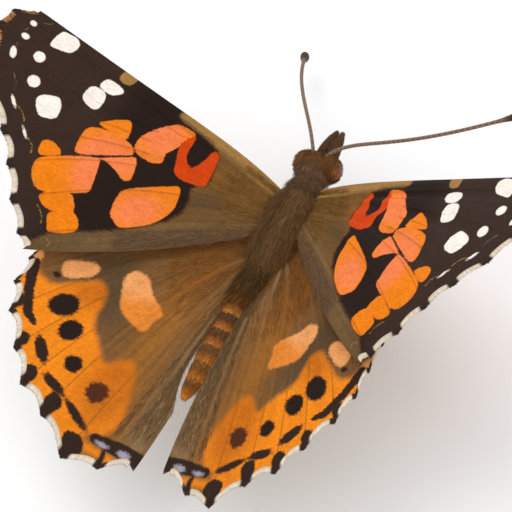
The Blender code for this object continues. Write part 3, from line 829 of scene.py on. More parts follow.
# %% Upper sides
BLACK, SOOT, WHITE = tone("20120B"), tone("33221A"), tone("EDE2D6")
ORANGE, PINK, RED = tone("E27806"), tone("E87A44"), tone("C63E00")
PALE_ORANGE, VIOLET = tone("E0985A"), tone("948C96")
MARIGOLD, TAWNY, APRICOT = tone("E07E10"), tone("BC640C"), tone("D47C2C")
SPOT_BROWN, MARK_BROWN = tone("4A2410"), tone("2C1B13")
VEIN_INK, HIND_VEIN_INK = tone("6A2E10"), tone("7A4A14")


def fore_upper():
    """Ground, dark field, orange with pink hearts, red hook, black oval, white spots."""
    graph = Graph("forewing upper scales", 0.72, Specular_IOR_Level=0.12)
    part, rim = scale_cells(graph)
    colour = streaky(graph, graph.field("ground", "Color"), 0.55)
    dark = graph.mix(graph.field("soot"), BLACK, SOOT)
    colour = graph.mix(cut(graph, "dark", part, 0.14, 0.24), colour, dark)
    warm = graph.mix(graph.field("pink"), ORANGE, PINK)
    colour = graph.mix(cut(graph, "orange", part), colour, warm)
    colour = graph.mix(cut(graph, "red", part), colour, RED)
    colour = graph.mix(cut(graph, "black", part), colour, BLACK)
    colour = graph.mix(cut(graph, "tan", part), colour, TAN)
    colour = graph.mix(cut(graph, "white", part, 0.05), colour, WHITE)
    line = graph.ramp(graph.field("vein"), 0.12, 0.04)
    line = graph.sums("MULTIPLY", line, graph.field("vein_ink"))
    colour = graph.mix(line, colour, VEIN_INK)
    return finish_wing(graph, colour, part, rim)


def hind_upper():
    """Ground, orange outer third, pale patches, dark marks and spots, violet specks."""
    graph = Graph("hindwing upper scales", 0.72, Specular_IOR_Level=0.12)
    part, rim = scale_cells(graph)
    colour = streaky(graph, graph.field("ground", "Color"), 0.60)
    warm = graph.mix(graph.field("pink"), MARIGOLD, TAWNY)
    warm = streaky(graph, warm, 0.18)
    colour = graph.mix(cut(graph, "orange", part, 0.25, 0.35), colour, warm)
    pale = graph.mix(graph.field("soot"), PALE_ORANGE, APRICOT)
    colour = graph.mix(cut(graph, "pale", part, 0.15, 0.14), colour, pale)
    line = graph.ramp(graph.field("vein"), 0.11, 0.04)
    line = graph.sums("MULTIPLY", line, graph.field("vein_ink"))
    colour = graph.mix(line, colour, HIND_VEIN_INK)
    colour = graph.mix(cut(graph, "brown", part, 0.2, 0.20), colour, SPOT_BROWN)
    colour = graph.mix(cut(graph, "dark", part, 0.10, 0.10), colour, MARK_BROWN)
    colour = graph.mix(cut(graph, "black", part, 0.12, 0.13), colour, BLACK)
    colour = graph.mix(cut(graph, "white", part, 0.12, 0.12), colour, VIOLET)
    return finish_wing(graph, colour, part, rim)


# %% Undersides
UNDER_BLACK, LINE_BROWN = tone("35241A"), tone("5C4630")
RING_YELLOW, IRIS_BROWN, PUPIL_BLUE = tone("D9B45A"), tone("3A2C22"), tone("6F8FA6")


def fore_under():
    """Rose and buff with the black bars and white spots of the upper side showing."""
    graph = Graph("forewing under scales", 0.72, Specular_IOR_Level=0.15)
    part, rim = scale_cells(graph)
    colour = graph.field("ground", "Color")
    colour = graph.mix(cut(graph, "dark", part), colour, UNDER_BLACK)
    colour = graph.mix(cut(graph, "white", part, 0.12), colour, WHITE)
    line = graph.sums("MULTIPLY", graph.ramp(graph.field("vein"), 0.16, 0.06), 0.7)
    colour = graph.mix(line, colour, SAND)
    return finish_wing(graph, colour, part, rim)


def hind_under():
    """Mottled ground, white veins, ringed eyespots and a double line by the margin."""
    graph = Graph("hindwing under scales", 0.72, Specular_IOR_Level=0.15)
    part, rim = scale_cells(graph)
    blotch = graph.node("TexNoise", {"Vector": graph.field("flat", "Vector"), "Scale": 0.9,
                                     "Detail": 4.0, "Distortion": 1.2})
    colour = graph.mix(graph.ramp(blotch, 0.50, 0.58), graph.field("ground", "Color"), UMBER)
    colour = graph.mix(graph.ramp(blotch, 0.43, 0.37), colour, CREAM)
    colour = graph.mix(graph.ramp(graph.field("vein"), 0.20, 0.10), colour, CREAM)
    colour = graph.mix(cut(graph, "dark", part), colour, LINE_BROWN)
    colour = graph.mix(cut(graph, "pale", part), colour, RING_YELLOW)
    colour = graph.mix(cut(graph, "black", part), colour, IRIS_BROWN)
    colour = graph.mix(cut(graph, "white", part), colour, PUPIL_BLUE)
    return finish_wing(graph, colour, part, rim)


WING_FINISH = {"forewing": (fore_upper(), fore_under()),
               "hindwing": (hind_upper(), hind_under())}
print("wing materials:", [m.name for pair in WING_FINISH.values() for m in pair])


# %% Fields of each face
# A face gets every name; one that its looks don't set stays at 1, which is outside a mark.
FIELD_NAMES = ("dark", "orange", "red", "black", "white", "tan", "pale", "brown", "pink",
               "vein_ink", "soot")
SPECKS_IN, LINES_IN = 1.30, (0.55, 1.5)


def fore_fields(p, plan):
    """Upper-side fields of the forewing; `tan` also holds the specks before the margin."""
    pink = sum(soft(p, *patch) for patch in FORE_PINK)
    border = plan["edge"] - SPECKS_IN - 0.25 * np.sin(math.pi * plan["share"])
    middle = 3.0 * np.minimum(plan["share"], 1 - plan["share"])
    specks = np.maximum(np.abs(border) - 0.13, 0.60 - middle)
    return {"ground": fore_ground(p), "dark": union(p, FORE_DARK),
            "orange": union(p, FORE_ORANGE), "red": union(p, FORE_RED),
            "black": union(p, FORE_BLACK), "white": union(p, FORE_WHITE) + 0.06,
            "tan": np.minimum(union(p, FORE_TAN), specks + 0.08),
            "pink": np.clip(pink * 1.5, 0, 1), "soot": ease(p[..., 0], 13.0, 17.0),
            "vein_ink": ease(union(p, FORE_ORANGE), 0.25, 0.0) * 0.30}


def hind_fields(p, plan):
    """Upper-side fields of the hindwing; `soot` darkens the inner side of the pale patch."""
    warm = np.clip(1.5 * soft(p, (4.2, -17.0), (2.2, 3.8), 10.0)
                   + 1.2 * soft(p, (9.5, -10.9), (2.4, 1.2), -30.0), 0, 1)
    return {"ground": hind_ground(p), "dark": union(p, HIND_DARK),
            "orange": union(p, HIND_ORANGE), "pale": union(p, HIND_PALE),
            "black": union(p, HIND_SPOTS), "brown": union(p, HIND_BROWN_SPOT),
            "white": union(p, HIND_VIOLET), "pink": warm,
            "soot": ease(-p[..., 1] - 0.35 * p[..., 0], 6.4, 8.2),
            "vein_ink": 0.45 * ease(union(p, HIND_ORANGE), 0.1, -0.3)}


def fore_under_fields(p, plan):
    """Underside fields of the forewing."""
    return {"ground": fore_under_ground(p), "dark": union(p, UNDER_FORE_DARK),
            "white": union(p, FORE_WHITE)}


def hind_under_fields(p, plan):
    """Underside fields of the hindwing: `dark` is the double line along the margin."""
    double = np.minimum(*(np.abs(plan["edge"] - line) for line in LINES_IN)) - 0.13
    return {"ground": hind_under_ground(p), "dark": double,
            "pale": union(p, UNDER_RING), "black": union(p, UNDER_IRIS),
            "white": union(p, UNDER_PUPIL)}


print("fields of a face:", len(FIELD_NAMES) + 1)


# %% [markdown]
# ## The wing membranes
#
# A real wing is two skins pressed together over hollow veins. It could be one flat sheet
# with a thickness added, but then both faces would share one look and the veins would be
# paint. So each wing is one closed thin sheet: an upper grid, a lower grid and a rim. The
# veins rise as rounded ridges on both faces, and the membrane between them is pleated a
# little, up and down in turn, which is what stiffens a real wing.

# %% Pleats and ridges
CROSS_VEIN_AT, CROSS_VEIN_WIDTH = 0.47, 0.006
CROSS_VEIN_CELLS = (2, 5)
EDGE_SHARE = 0.3


def pleat_height(at, t):
    """Pleat of the membrane: 0.1 mm * sin(pi * share) * sin(pi * t^1.3), up and down in turn."""
    sign = np.where(np.asarray(at).astype(int) % 2 == 0, 1.0, -1.0)
    return PLEAT * sign * np.sin(math.pi * (at % 1.0)) * np.sin(math.pi * t ** 1.3)


def wing_heights(wing, plan):
    """Ridge height exp(-(d / w)^2) over the veins, and the pleats, in millimetres.

    A short cross vein closes the long cell in the middle of the wing.
    """
    t, cell = plan["t"][None], plan["cell"][:, None]
    ridge = VEIN_RISE * (1 - 0.55 * t) * np.exp(-(plan["vein"] / VEIN_WIDTH) ** 2)
    across = np.exp(-((t - CROSS_VEIN_AT) / CROSS_VEIN_WIDTH) ** 2)
    across = across * (cell >= CROSS_VEIN_CELLS[0]) * (cell <= CROSS_VEIN_CELLS[1])
    ridge = np.maximum(ridge, 0.6 * VEIN_RISE * across)
    return ridge, pleat_height(plan["at"][:, None], t)


# %% Build the four wings
STREAKS_ACROSS, STREAKS_ALONG = 6.0, 3.0
UNDERSIDE_SHIFT = 5


def build_wing(wing, side, upper_fields, under_fields):
    """One wing: both faces with their own fields, joined by a rim."""
    label = SIDES[side]
    plan = wing_plan(wing, side)
    ridge, pleat = wing_heights(wing, plan)
    thin = EDGE_SHARE + (1 - EDGE_SHARE) * ease(plan["edge"], -0.05, 0.6)
    half = (MEMBRANE_HALF + ridge) * thin
    top = on_wing(wing, side, plan["u"], plan["v"], pleat + half)
    under = on_wing(wing, side, plan["u"], plan["v"], pleat - half)
    rows, columns = plan["u"].shape
    count = rows * columns
    quads = grid_faces(rows, columns)
    index = np.arange(count).reshape(rows, columns)
    rim = np.concatenate([index[:, 0], index[-1, 1:], index[-2::-1, -1], index[0, -2:0:-1]])
    onward = np.roll(rim, -1)
    wall = np.stack([rim, onward, onward + count, rim + count], 1)
    faces = [quads, quads[:, ::-1] + count, wall]
    if side > 0:
        faces = [part[:, ::-1] for part in faces]
    p = np.stack([plan["u"], plan["v"]], -1)
    looks, blank = (upper_fields(p, plan), under_fields(p, plan)), np.ones((rows, columns))
    fields = {key: np.concatenate([look.get(key, blank).ravel() for look in looks])
              for key in FIELD_NAMES}
    fields["ground"] = np.concatenate([look["ground"].reshape(-1, 3) for look in looks])
    fields["vein"] = np.tile(plan["vein"].ravel(), 2)
    fan = np.stack(np.broadcast_arrays(STREAKS_ACROSS * plan["at"][:, None],
                                       STREAKS_ALONG * plan["t"], side), -1)
    fields["fan"] = np.tile(fan.reshape(-1, 3), (2, 1))
    flat = np.stack([plan["u"], plan["v"], 0 * plan["u"]], -1).reshape(-1, 3)
    fields["flat"] = np.concatenate([flat, flat + (0, 0, UNDERSIDE_SHIFT)])
    coat_of = np.concatenate([np.zeros(len(quads)), np.ones(len(quads)), np.zeros(len(wall))])
    points = np.concatenate([top.reshape(-1, 3), under.reshape(-1, 3)])
    piece = make_piece(f"{wing['name']}_{label}_sheet", points, faces,
                       WING_FINISH[wing["name"]], coat_of, fields)
    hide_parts(f"{wing['name']}_{label}")
    return plan


plans = {}
for side in SIDES:
    plans["forewing", side] = build_wing(FOREWING, side, fore_fields, fore_under_fields)
    plans["hindwing", side] = build_wing(HINDWING, side, hind_fields, hind_under_fields)

# %% [markdown]
# ## Tufts
#
# Hair, fringe scales and body scales are all one kind of small solid: a flat lock that
# bends and tapers to a point. Blender can grow hair as particles, but those aren't meshes,
# so they would be lost in the exported model. `make_tufts` builds thousands of small solids
# at once from arrays of roots, directions, lengths and widths. Each tuft's colour is a
# field, and its place on the `OFBake` map is a small patch where its root sits on the
# skin's own unwrap.

# %% Build many tufts as one mesh
# A tuft has three rings of three corners, and then its tip.
TUFT_RINGS = np.array((0.0, 0.38, 0.74))
TUFT_POINTS = 10
TUFT_TIP = TUFT_POINTS - 1
TUFT_PATCH = 0.003
# Painted shade at a tuft's root, where the hairs crowd, and painted light at its tip.
ROOT_PAINTED_SHADE, TIP_PAINTED_LIGHT = 0.72, 1.12


def make_tufts(name, roots, heads, lifts, lengths, widths, colours, unwrap, material, slot,
               bend=0.25, blunt=0.0, thick=0.35):
    """Locks along heads, curving by `bend` towards -lifts, with three-sided sections.

    A point is root + head * L * t - lift * L * bend * t^2, and the section's half width is
    width * (1 - (1 - blunt) * t), so `blunt` near 1 gives a scale and 0 gives a hair.
    """
    heads = unit(heads)
    sides = unit(np.cross(heads, lifts))
    ups = np.cross(sides, heads)
    t = TUFT_RINGS[None, :, None, None]
    size = widths[:, None, None, None] * (1 - (1 - blunt) * t)
    length = lengths[:, None, None, None]
    spine = (roots[:, None, None] + heads[:, None, None] * length * t
             - lifts[:, None, None] * length * bend * t ** 2)
    corner = np.array(((-1.0, 0.0), (1.0, 0.0), (0.0, 1.0)))[None, None, :, :, None]
    offset = (corner[:, :, :, 0] * sides[:, None, None]
              + corner[:, :, :, 1] * thick * ups[:, None, None])
    rings = (spine + size * offset).reshape(len(roots), TUFT_TIP, 3)
    tips = roots + heads * lengths[:, None] - lifts * (lengths * bend)[:, None]
    points = np.concatenate([rings, tips[:, None]], 1).reshape(-1, 3)
    around = [(s, (s + 1) % 3) for s in range(3)]
    quads = [(r + n, r + s, r + s + 3, r + n + 3) for r in (0, 3) for s, n in around]
    tris = [(6 + n, 6 + s, TUFT_TIP) for s, n in around] + [(0, 1, 2)]
    start = (np.arange(len(roots)) * TUFT_POINTS)[:, None, None]
    faces = [(np.array(quads)[None] + start).reshape(-1, 4),
             (np.array(tris)[None] + start).reshape(-1, 3)]
    inner = np.array([(x * 0.5, k / 3) for k in range(3) for x in (-1, 1, 0)] + [(0, 1)])
    uv = (unwrap[:, None] + TUFT_PATCH * inner[None]).reshape(-1, 2)
    # Painted shade and light: each tuft is darker by its root and lighter towards its tip.
    shade = np.linspace(ROOT_PAINTED_SHADE, TIP_PAINTED_LIGHT, 4)[np.array([0] * 3 + [1] * 3 + [2] * 3 + [3])]
    coat = (colours[:, None] * shade[None, :, None]).reshape(-1, 3)
    return make_piece(name, points, faces, [material], None, {"coat": coat}, uv)


def coat_material(name, roughness):
    """Reads the tufts' colours, with painted shade at their roots and painted light at their
    tips, and a little streaky change along the hair.
    """
    graph = Graph(name, roughness, Specular_IOR_Level=0.12)
    bright = graph.sums("MULTIPLY_ADD", graph.noise(2600.0), 0.5, 0.75)
    graph.plug(graph.scaled(graph.field("coat", "Color"), bright), "Base Color")
    return graph.material


HAIR = coat_material("body hair", 0.70)
SCALE_COAT = coat_material("loose scales", 0.62)
print("tuft materials:", HAIR.name, "and", SCALE_COAT.name)

# %% [markdown]
# ## The fringe
#
# Long narrow scales stand out from the outer margin in two rows. They are dark where a
# vein meets the margin and cream between the veins, which makes the chequered edge. At the
# tip of the forewing they are brown with a few orange ones. Painted on the sheet, the edge
# would stay a clean cut. As tufts rooted on the grid's last line they break it up.

# %% Fringe of every wing
FRINGE_PER_ROW = {"forewing": 620, "hindwing": 700}
FRINGE_ROWS = ((1.0, -0.02), (0.93, 0.02))
FRINGE_ROOT = 0.12
FRINGE_OVERHANG = 0.10
FRINGE_WIDTH = 0.062
UNWRAP_SPAN = 60


def build_fringe(wing, side, seed):
    """Two rows of fringe scales, a long one and a short one on top.

    A row is its share of the full length and its height over the sheet's middle. Each scale
    points from a place a little inside the margin to the margin, turned by chance.
    """
    plan, rng = plans[wing["name"], side], chance(seed)
    label = SIDES[side]
    count = FRINGE_PER_ROW[wing["name"]]
    parts = []
    for reach, lift in FRINGE_ROWS:
        at = np.linspace(0.25, plan["at"][-1] - 0.25, count)
        ends = plan_at(plan, at, np.ones(count))
        outward = unit(ends - plan_at(plan, at, np.full(count, 0.965)))
        vein = np.minimum(at % 1.0, 1 - at % 1.0)
        wide = ease(vein, 0.12, 0.22)
        turn = rng.normal(0, 0.07, count)
        aim = np.stack([outward[:, 0] * np.cos(turn) - outward[:, 1] * np.sin(turn),
                        outward[:, 0] * np.sin(turn) + outward[:, 1] * np.cos(turn)], 1)
        base = ends - aim * FRINGE_ROOT
        root = on_wing(wing, side, *base.T, np.full(count, lift))
        tip = on_wing(wing, side, *(base + aim).T, np.full(count, lift))
        length = reach * (wing["fringe"] + FRINGE_OVERHANG + rng.normal(0, 0.04, count))
        up = np.broadcast_to(wing_axes(wing, side)[2] * (side, 1, 1), root.shape)
        pale = blend(tone("EADFCC"), tone("D2B088"), rng.random(count) * 0.5)
        if wing is FOREWING:
            fleck = blend(tone("4A3222"), tone("C98A4E"), rng.random(count) > 0.6)
            pale = blend(fleck, pale, ease(at, 2.6, 3.2))
        colour = blend(tone("33221A"), pale, wide)
        colour = colour * rng.uniform(0.88, 1.08, count)[:, None]
        parts.append((root, tip - root, up, length, np.full(count, FRINGE_WIDTH), colour,
                      base / UNWRAP_SPAN + 0.5))
    joined = [np.concatenate(columns) for columns in zip(*parts)]
    make_tufts(f"{wing['name']}_{label}_fringe", *joined, SCALE_COAT, wing["name"],
               bend=0.06, blunt=0.6, thick=0.3)


for side in SIDES:
    build_fringe(FOREWING, side, 11 + side)
    build_fringe(HINDWING, side, 21 + side)

# %% [markdown]
# ## The body
#
# Rings across the abdomen swell and then step in, as the hard plates overlap. Each ring
# could be a piece of its own, but one skin from the stations above is closed and cheap, and
# a swell worked out from the place along the body gives the same look. Skin and hair read
# the same colours, so the markings run through both.

# %% Body skin
SKIN_RINGS = 340
SKIN_SIDES = 96
SKIN_DARKER = 0.7
RING_SWELL = 0.05
RINGS_FROM, RINGS_TO, RING_COUNT = -5.6, -18.2, 8


def ring_phase(y):
    """Where a place lies within its abdominal ring, from 0 at the front to 1 at the back."""
    return np.clip((RINGS_FROM - y) / (RINGS_FROM - RINGS_TO), 0, 0.999) * RING_COUNT % 1.0


def skin_rows(count):
    """Columns y, half width, middle height, half height and aside of the ringed skin.

    On a ring the half width and half height are times 1 + swell * (sin(pi * phase) - 0.6).
    """
    rows = smooth_rows(BODY_ROWS, count)
    on_rings = (rows[:, 0] < RINGS_FROM) & (rows[:, 0] > RINGS_TO)
    bulge = np.sin(math.pi * ring_phase(rows[:, 0])) - 0.6
    swell = 1 + RING_SWELL * on_rings * bulge
    middle, tall = (rows[:, 2] + rows[:, 3]) / 2, (rows[:, 2] - rows[:, 3]) / 2
    return rows[:, 0], rows[:, 1] * swell, middle, tall * swell, rows[:, 4]


def body_colour(y, angle):
    """Markings of the body, the same on skin and hair: brown thorax, banded abdomen."""
    top = np.sin(angle)
    colour = blend(tone("8A6238"), tone("7E5C38"), ease(top, -0.2, 0.9))
    colour = blend(colour, tone("9B8A6C"), ease(-top, 0.1, 0.8))
    colour = blend(colour, tone("7C5E44"), ease(y, 1.2, 3.0))
    phase = ring_phase(y)
    ring = blend(tone("5E3814"), tone("A86018"), ease(phase, 0.42, 0.70))
    ring = blend(ring, tone("D2852C"), ease(phase, 0.80, 0.94) * ease(top, -0.2, 0.4))
    ring = blend(ring, tone("C97A24"), 0.25 * ease(-y, 11.0, 15.0))
    ring = blend(ring, tone("B9A283"), ease(-top, 0.0, 0.5))
    ring = blend(tone("5E4624"), ring, ease(-y, 6.0, 10.5))
    return blend(colour, ring, ease(-y, 4.9, 5.6))


def body_skin_material():
    """Dark cuticle seen between the hairs, with their colours and a fine leathery bump."""
    graph = Graph("body skin", 0.6, Specular_IOR_Level=0.25)
    grain = graph.noise(5200.0, 4.0)
    bright = graph.sums("MULTIPLY_ADD", grain, 0.6, 0.4)
    graph.plug(graph.scaled(graph.field("coat", "Color"), bright), "Base Color")
    graph.bump(grain, 0.5, 0.00005)
    return graph.material


y, half, middle, tall, aside = skin_rows(SKIN_RINGS)
turn = np.arange(SKIN_SIDES) * 2 * math.pi / SKIN_SIDES
skin = np.stack([aside[:, None] + half[:, None] * np.cos(turn),
                 np.repeat(y[:, None], SKIN_SIDES, 1),
                 middle[:, None] + tall[:, None] * np.sin(turn)], -1).reshape(-1, 3)
ends = np.array([(aside[0], y[0], middle[0]), (aside[-1], y[-1], middle[-1])])
skin_tint = SKIN_DARKER * body_colour(np.repeat(y, SKIN_SIDES), np.tile(turn, SKIN_RINGS))
skin_tint = np.vstack([skin_tint, skin_tint[:1], skin_tint[-1:]])
body = make_piece("body_skin", np.vstack([skin, ends]),
                  [grid_faces(SKIN_RINGS, SKIN_SIDES, wrap=True),
                   pole_caps(SKIN_RINGS, SKIN_SIDES)],
                  [body_skin_material()], None, {"coat": skin_tint})
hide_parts("thorax", "abdomen", "head")


# %% [markdown]
# ## Hair and scales of the body
#
# Long soft hair covers the thorax and lies back over the wing roots and the waist. The
# head has shorter, rougher hair. The abdomen has small flat scales with short hair at its
# sides. A fur pattern in the material would look painted at the outline of the body, so
# each coat is real tufts, rooted on the skin by chance and leaning back along it.

# %% Roots on the skin
FINE_STATIONS = 1200
STATION_STEP = 0.004


def skin_roots(count, y_from, y_to, rng, low=-math.pi, high=math.pi):
    """Random places on the skin between two stations, with rearward and outward directions.

    Outward is the cross product of the directions around and along, turned to face away
    from the middle line.
    """
    fine = np.linspace(0, 1, FINE_STATIONS)
    stations = skin_rows(FINE_STATIONS)
    spot = rng.uniform(min(y_from, y_to), max(y_from, y_to), count)
    at = np.interp(-spot, -stations[0], fine)
    half, middle, tall, aside = (np.interp(at, fine, row) for row in stations[1:])
    angle = rng.uniform(low, high, count)
    roots = np.stack([aside + half * np.cos(angle), spot, middle + tall * np.sin(angle)], 1)
    ahead = np.stack([np.interp(at + STATION_STEP, fine, row)
                      - np.interp(at - STATION_STEP, fine, row) for row in stations], 1)
    along = unit(np.stack([ahead[:, 4] + ahead[:, 1] * np.cos(angle), ahead[:, 0],
                           ahead[:, 2] + ahead[:, 3] * np.sin(angle)], 1))
    around = unit(np.stack([-half * np.sin(angle), 0 * angle, tall * np.cos(angle)], 1))
    out = np.cross(around, along)
    out *= np.sign((out * (roots - np.stack([aside, spot, middle], 1))).sum(1))[:, None]
    unwrap = np.stack([0.5 + angle / 7.5, 0.5 + spot / 40.0], 1)
    return roots, along, out, angle, unwrap


# %% Coats of the thorax and the abdomen
ROOT_SINK = 0.03


def coat(name, slot, count, y_from, y_to, seed, length, width, stand, material=HAIR, blunt=0.0,
         low=-math.pi, high=math.pi, bend=0.3, sway=0.22, colour=body_colour):
    """Tufts over part of the skin: head = along + stand * chance * out + sway * chance * side."""
    rng = chance(seed)
    roots, along, out, angle, unwrap = skin_roots(count, y_from, y_to, rng, low, high)
    side = np.cross(along, out)
    heads = along + out * (stand * rng.uniform(0.6, 1.4, count))[:, None]
    heads = heads + side * rng.normal(0, sway, count)[:, None]
    shade = colour(roots[:, 1] + rng.normal(0, 0.08, count), angle)
    shade = shade * rng.uniform(0.75, 1.35, count)[:, None]
    lengths = length * rng.uniform(0.65, 1.15, count)
    make_tufts(name, roots - out * ROOT_SINK, heads, out, lengths, np.full(count, width),
               shade, unwrap, material, slot, bend=bend, blunt=blunt)


coat("thorax_hair", "thorax", 7800, 2.7, -4.9, seed=31, length=1.05, width=0.045, stand=0.50)
coat("shoulder_hair_right", "thorax", 2600, 1.7, -4.6, seed=37, length=2.10, width=0.038,
     stand=0.62, low=0.0, high=1.25, bend=0.26)
coat("shoulder_hair_left", "thorax", 2600, 1.7, -4.6, seed=38, length=2.10, width=0.038,
     stand=0.62, low=math.pi - 1.25, high=math.pi, bend=0.26)
coat("collar_hair", "head", 3600, 3.9, 2.0, seed=32, length=1.00, width=0.042, stand=0.85,
     bend=0.22)
coat("waist_hair", "thorax", 4600, -3.4, -8.4, seed=33, length=1.80, width=0.040, stand=0.48,
     bend=0.25)
coat("abdomen_scales", "abdomen", 8600, -5.4, -18.3, seed=34, length=0.30, width=0.060,
     stand=0.16, material=SCALE_COAT, blunt=0.6, bend=0.05, sway=0.12)
coat("abdomen_side_hair", "abdomen", 1800, -5.6, -18.3, seed=35, length=0.60, width=0.026,
     stand=0.45)


# %% Head hair
def head_colour(y, angle):
    """Brown on top, paler below, with a rusty tuft between the feelers."""
    colour = blend(tone("7C5A3A"), tone("8A775C"), ease(-np.sin(angle), -0.2, 0.7))
    return blend(colour, tone("92602A"), ease(y, 4.3, 5.2) * ease(np.sin(angle), 0.2, 0.9))


coat("head_hair", "head", 4600, 5.5, 3.3, seed=36, length=0.50, width=0.036, stand=0.60,
     bend=0.2, sway=0.35, colour=head_colour)

# %% [markdown]
# ## Eyes
#
# A butterfly's eye is a dome of some thousand six-sided facets. Real facets as meshes would
# be finer than a pixel even close up. So the dome is a smooth surface turned about the
# head's cross axis, and the facets are low bumps in the material. The brown colour is
# darker in bands where the eye absorbs light. Short hair leans over the dome's inner part.

# %% Eye domes
EYE_CENTRE = (0.90, 4.5, -0.45)
EYE_DEPTH = 1.24
EYE_RADIUS = 1.15
EYE_RINGS, EYE_SIDES = 42, 72
BROW_HAIRS, BROW_WIDTH = 2400, 0.034


def eye_material():
    """Brown with facets: a Voronoi pattern at facet size gives each its own bump."""
    graph = Graph("eye facets", 0.42, Specular_IOR_Level=0.22)
    where = graph.node("TexCoord", output="Object")
    facet = graph.node("TexVoronoi", {"Vector": where, "Scale": 13500.0}, output="Distance")
    bands = graph.ramp(graph.noise(900.0), 0.42, 0.60)
    colour = graph.mix(bands, tone("AC5C14"), tone("6E3A12"))
    colour = graph.mix(graph.ramp(facet, 0.35, 0.62), colour, tone("2A140A"))
    graph.plug(colour, "Base Color")
    graph.bump(facet, 0.55, 0.00004, invert=True)
    return graph.material


def brow_hair(label, side, seed):
    """Short hair over the inner part of an eye: roots on rings of the dome, leaning out."""
    rng, count = chance(seed), BROW_HAIRS
    turn = rng.uniform(-math.pi, math.pi, count)
    rise = 0.80 * rng.random(count) ** 1.3
    out = np.stack([np.sin(rise), np.cos(rise) * np.sin(turn), np.cos(rise) * np.cos(turn)], 1)
    roots = np.array(EYE_CENTRE) + out * (EYE_DEPTH, EYE_RADIUS, EYE_RADIUS)
    heads = np.array((0.8, -0.75, 0.1)) + 0.55 * out + rng.normal(0, 0.25, (count, 3))
    shade = blend(tone("6E4C2C"), tone("9A662E"), rng.random(count))
    mirror = (side, 1, 1)
    make_tufts(f"head_brow_{label}", roots * mirror, heads * mirror, out * mirror,
               rng.uniform(0.20, 0.42, count), np.full(count, BROW_WIDTH), shade,
               np.stack([0.5 + turn / 7, 0.2 + rise], 1), HAIR, "head", bend=0.25)


EYE_FINISH = eye_material()
for side, label in SIDES.items():
    angle = np.linspace(0.0, math.pi / 2, EYE_RINGS)
    path = np.array(EYE_CENTRE) + np.outer(EYE_DEPTH * np.sin(angle), (1.0, 0.0, 0.0))
    radius = EYE_RADIUS * np.maximum(np.cos(angle), 0.004)
    points, faces, _ = swept(path, radius, EYE_SIDES, (0, 0, 1))
    if side < 0:
        faces = [part[:, ::-1] for part in faces]
    eye = make_piece(f"eye_{label}_dome", points * (side, 1, 1), faces, [EYE_FINISH])
    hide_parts(f"eye_{label}")
    brow_hair(label, side, 40 + side)

# %% [markdown]
# ## Feelers
#
# Each feeler is a chain of some forty short segments, a little wider at their joints, and
# swells into a flat club. Dark scales cover it, with a pale ring at each segment's base.
# Forty small pieces in a row would show their seams, so it is one tube along a curve: the
# radius rises at each joint, and a field along the tube places the rings of colour.

# %% Feelers
ANTENNA_SPAN = {"left": (-9.27, 11.02, -7.13), "right": (14.48, 9.36, -3.49)}
ANTENNA_BOW = {"left": (-0.71, 0.29, 0.58), "right": (-0.94, -1.40, -0.44)}
ANTENNA_DIP = {"left": (0.60, 0.75, 0.06), "right": (0.75, 0.95, 0.12)}
ANTENNA_ROOT = (0.45, 5.62, 1.09)
SEGMENTS = 42
SHAFT_RADIUS = 0.165
CLUB_RADIUS = 0.42
STEPS_PER_SEGMENT = 8
FEELER_SIDES = 20


def antenna_path(label, side, count):
    """Root + span t + bow sin(pi t) + rise (1 - exp(-9 t)) - dip exp(-t / d).

    The dip takes the first millimetre or two down into the head.
    """
    t = np.linspace(0, 1, count)[:, None]
    rise = np.array((0.0, 0.35, 0.6)) * (1 - np.exp(-9 * t))
    back, down, fade = ANTENNA_DIP[label]
    dip = np.array((0.0, back, down)) * np.exp(-t / fade)
    return (np.array(ANTENNA_ROOT) * (side, 1, 1) + np.array(ANTENNA_SPAN[label]) * t
            + np.array(ANTENNA_BOW[label]) * np.sin(math.pi * t) + rise - dip)


def antenna_material():
    """Brown with a faint pale ring per segment, a dark club and a cream-orange tip."""
    graph = Graph("feeler scales", 0.6, Specular_IOR_Level=0.25)
    along = graph.field("along")
    phase = graph.sums("FRACT", graph.sums("MULTIPLY", along, float(SEGMENTS)))
    ring = graph.ramp(phase, 0.34, 0.16)
    ring = graph.sums("MULTIPLY", ring, graph.ramp(along, 0.88, 0.84))
    colour = graph.mix(ring, tone("6E5442"), tone("86705A"))
    colour = graph.mix(graph.ramp(along, 0.86, 0.90), colour, tone("3A261A"))
    colour = graph.mix(graph.ramp(along, 0.968, 0.985), colour, tone("C98F4E"))
    grain = graph.noise(9000.0)
    bright = graph.sums("MULTIPLY_ADD", grain, 0.5, 0.75)
    graph.plug(graph.scaled(colour, bright), "Base Color")
    graph.bump(grain, 0.4, 0.00003)
    return graph.material


FEELER_FINISH = antenna_material()
for side, label in SIDES.items():
    path = antenna_path(label, side, SEGMENTS * STEPS_PER_SEGMENT)
    t = np.linspace(0, 1, len(path))
    joint = 1 + 0.05 * np.cos(2 * math.pi * t * SEGMENTS)
    club = np.exp(-((t - 0.945) / 0.060) ** 2)
    end = np.sqrt(np.clip((1 - t) / 0.03, 0.0004, 1))
    radius = (SHAFT_RADIUS * joint + (CLUB_RADIUS - SHAFT_RADIUS) * club) * end
    points, faces, along = swept(path, radius, FEELER_SIDES, (0, 0, 1), flatten=0.9)
    feeler = make_piece(f"antenna_{label}_shaft", points, faces, [FEELER_FINISH],
                        None, {"along": along})
    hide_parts(f"antenna_{label}")

# %% [markdown]
# ## Palps and tongue
#
# The palps are two hairy fingers in front of the face. Between them, below, the tongue is
# wound up like a watch spring, a ringed tube in the middle plane. All three could be
# modelled by hand, but each is simply a profile carried along a path, so the same tube
# helper makes them, and the palps get a coat of tufts as the body does.

# %% Palps
PALP_TIP = (8.35, -0.95)
PALP_X = 0.46
PALP_BASE = (5.20, -0.98)
PALP_RINGS, PALP_SIDES = 60, 28
PALP_HAIRS, PALP_HAIR_WIDTH = 3000, 0.036


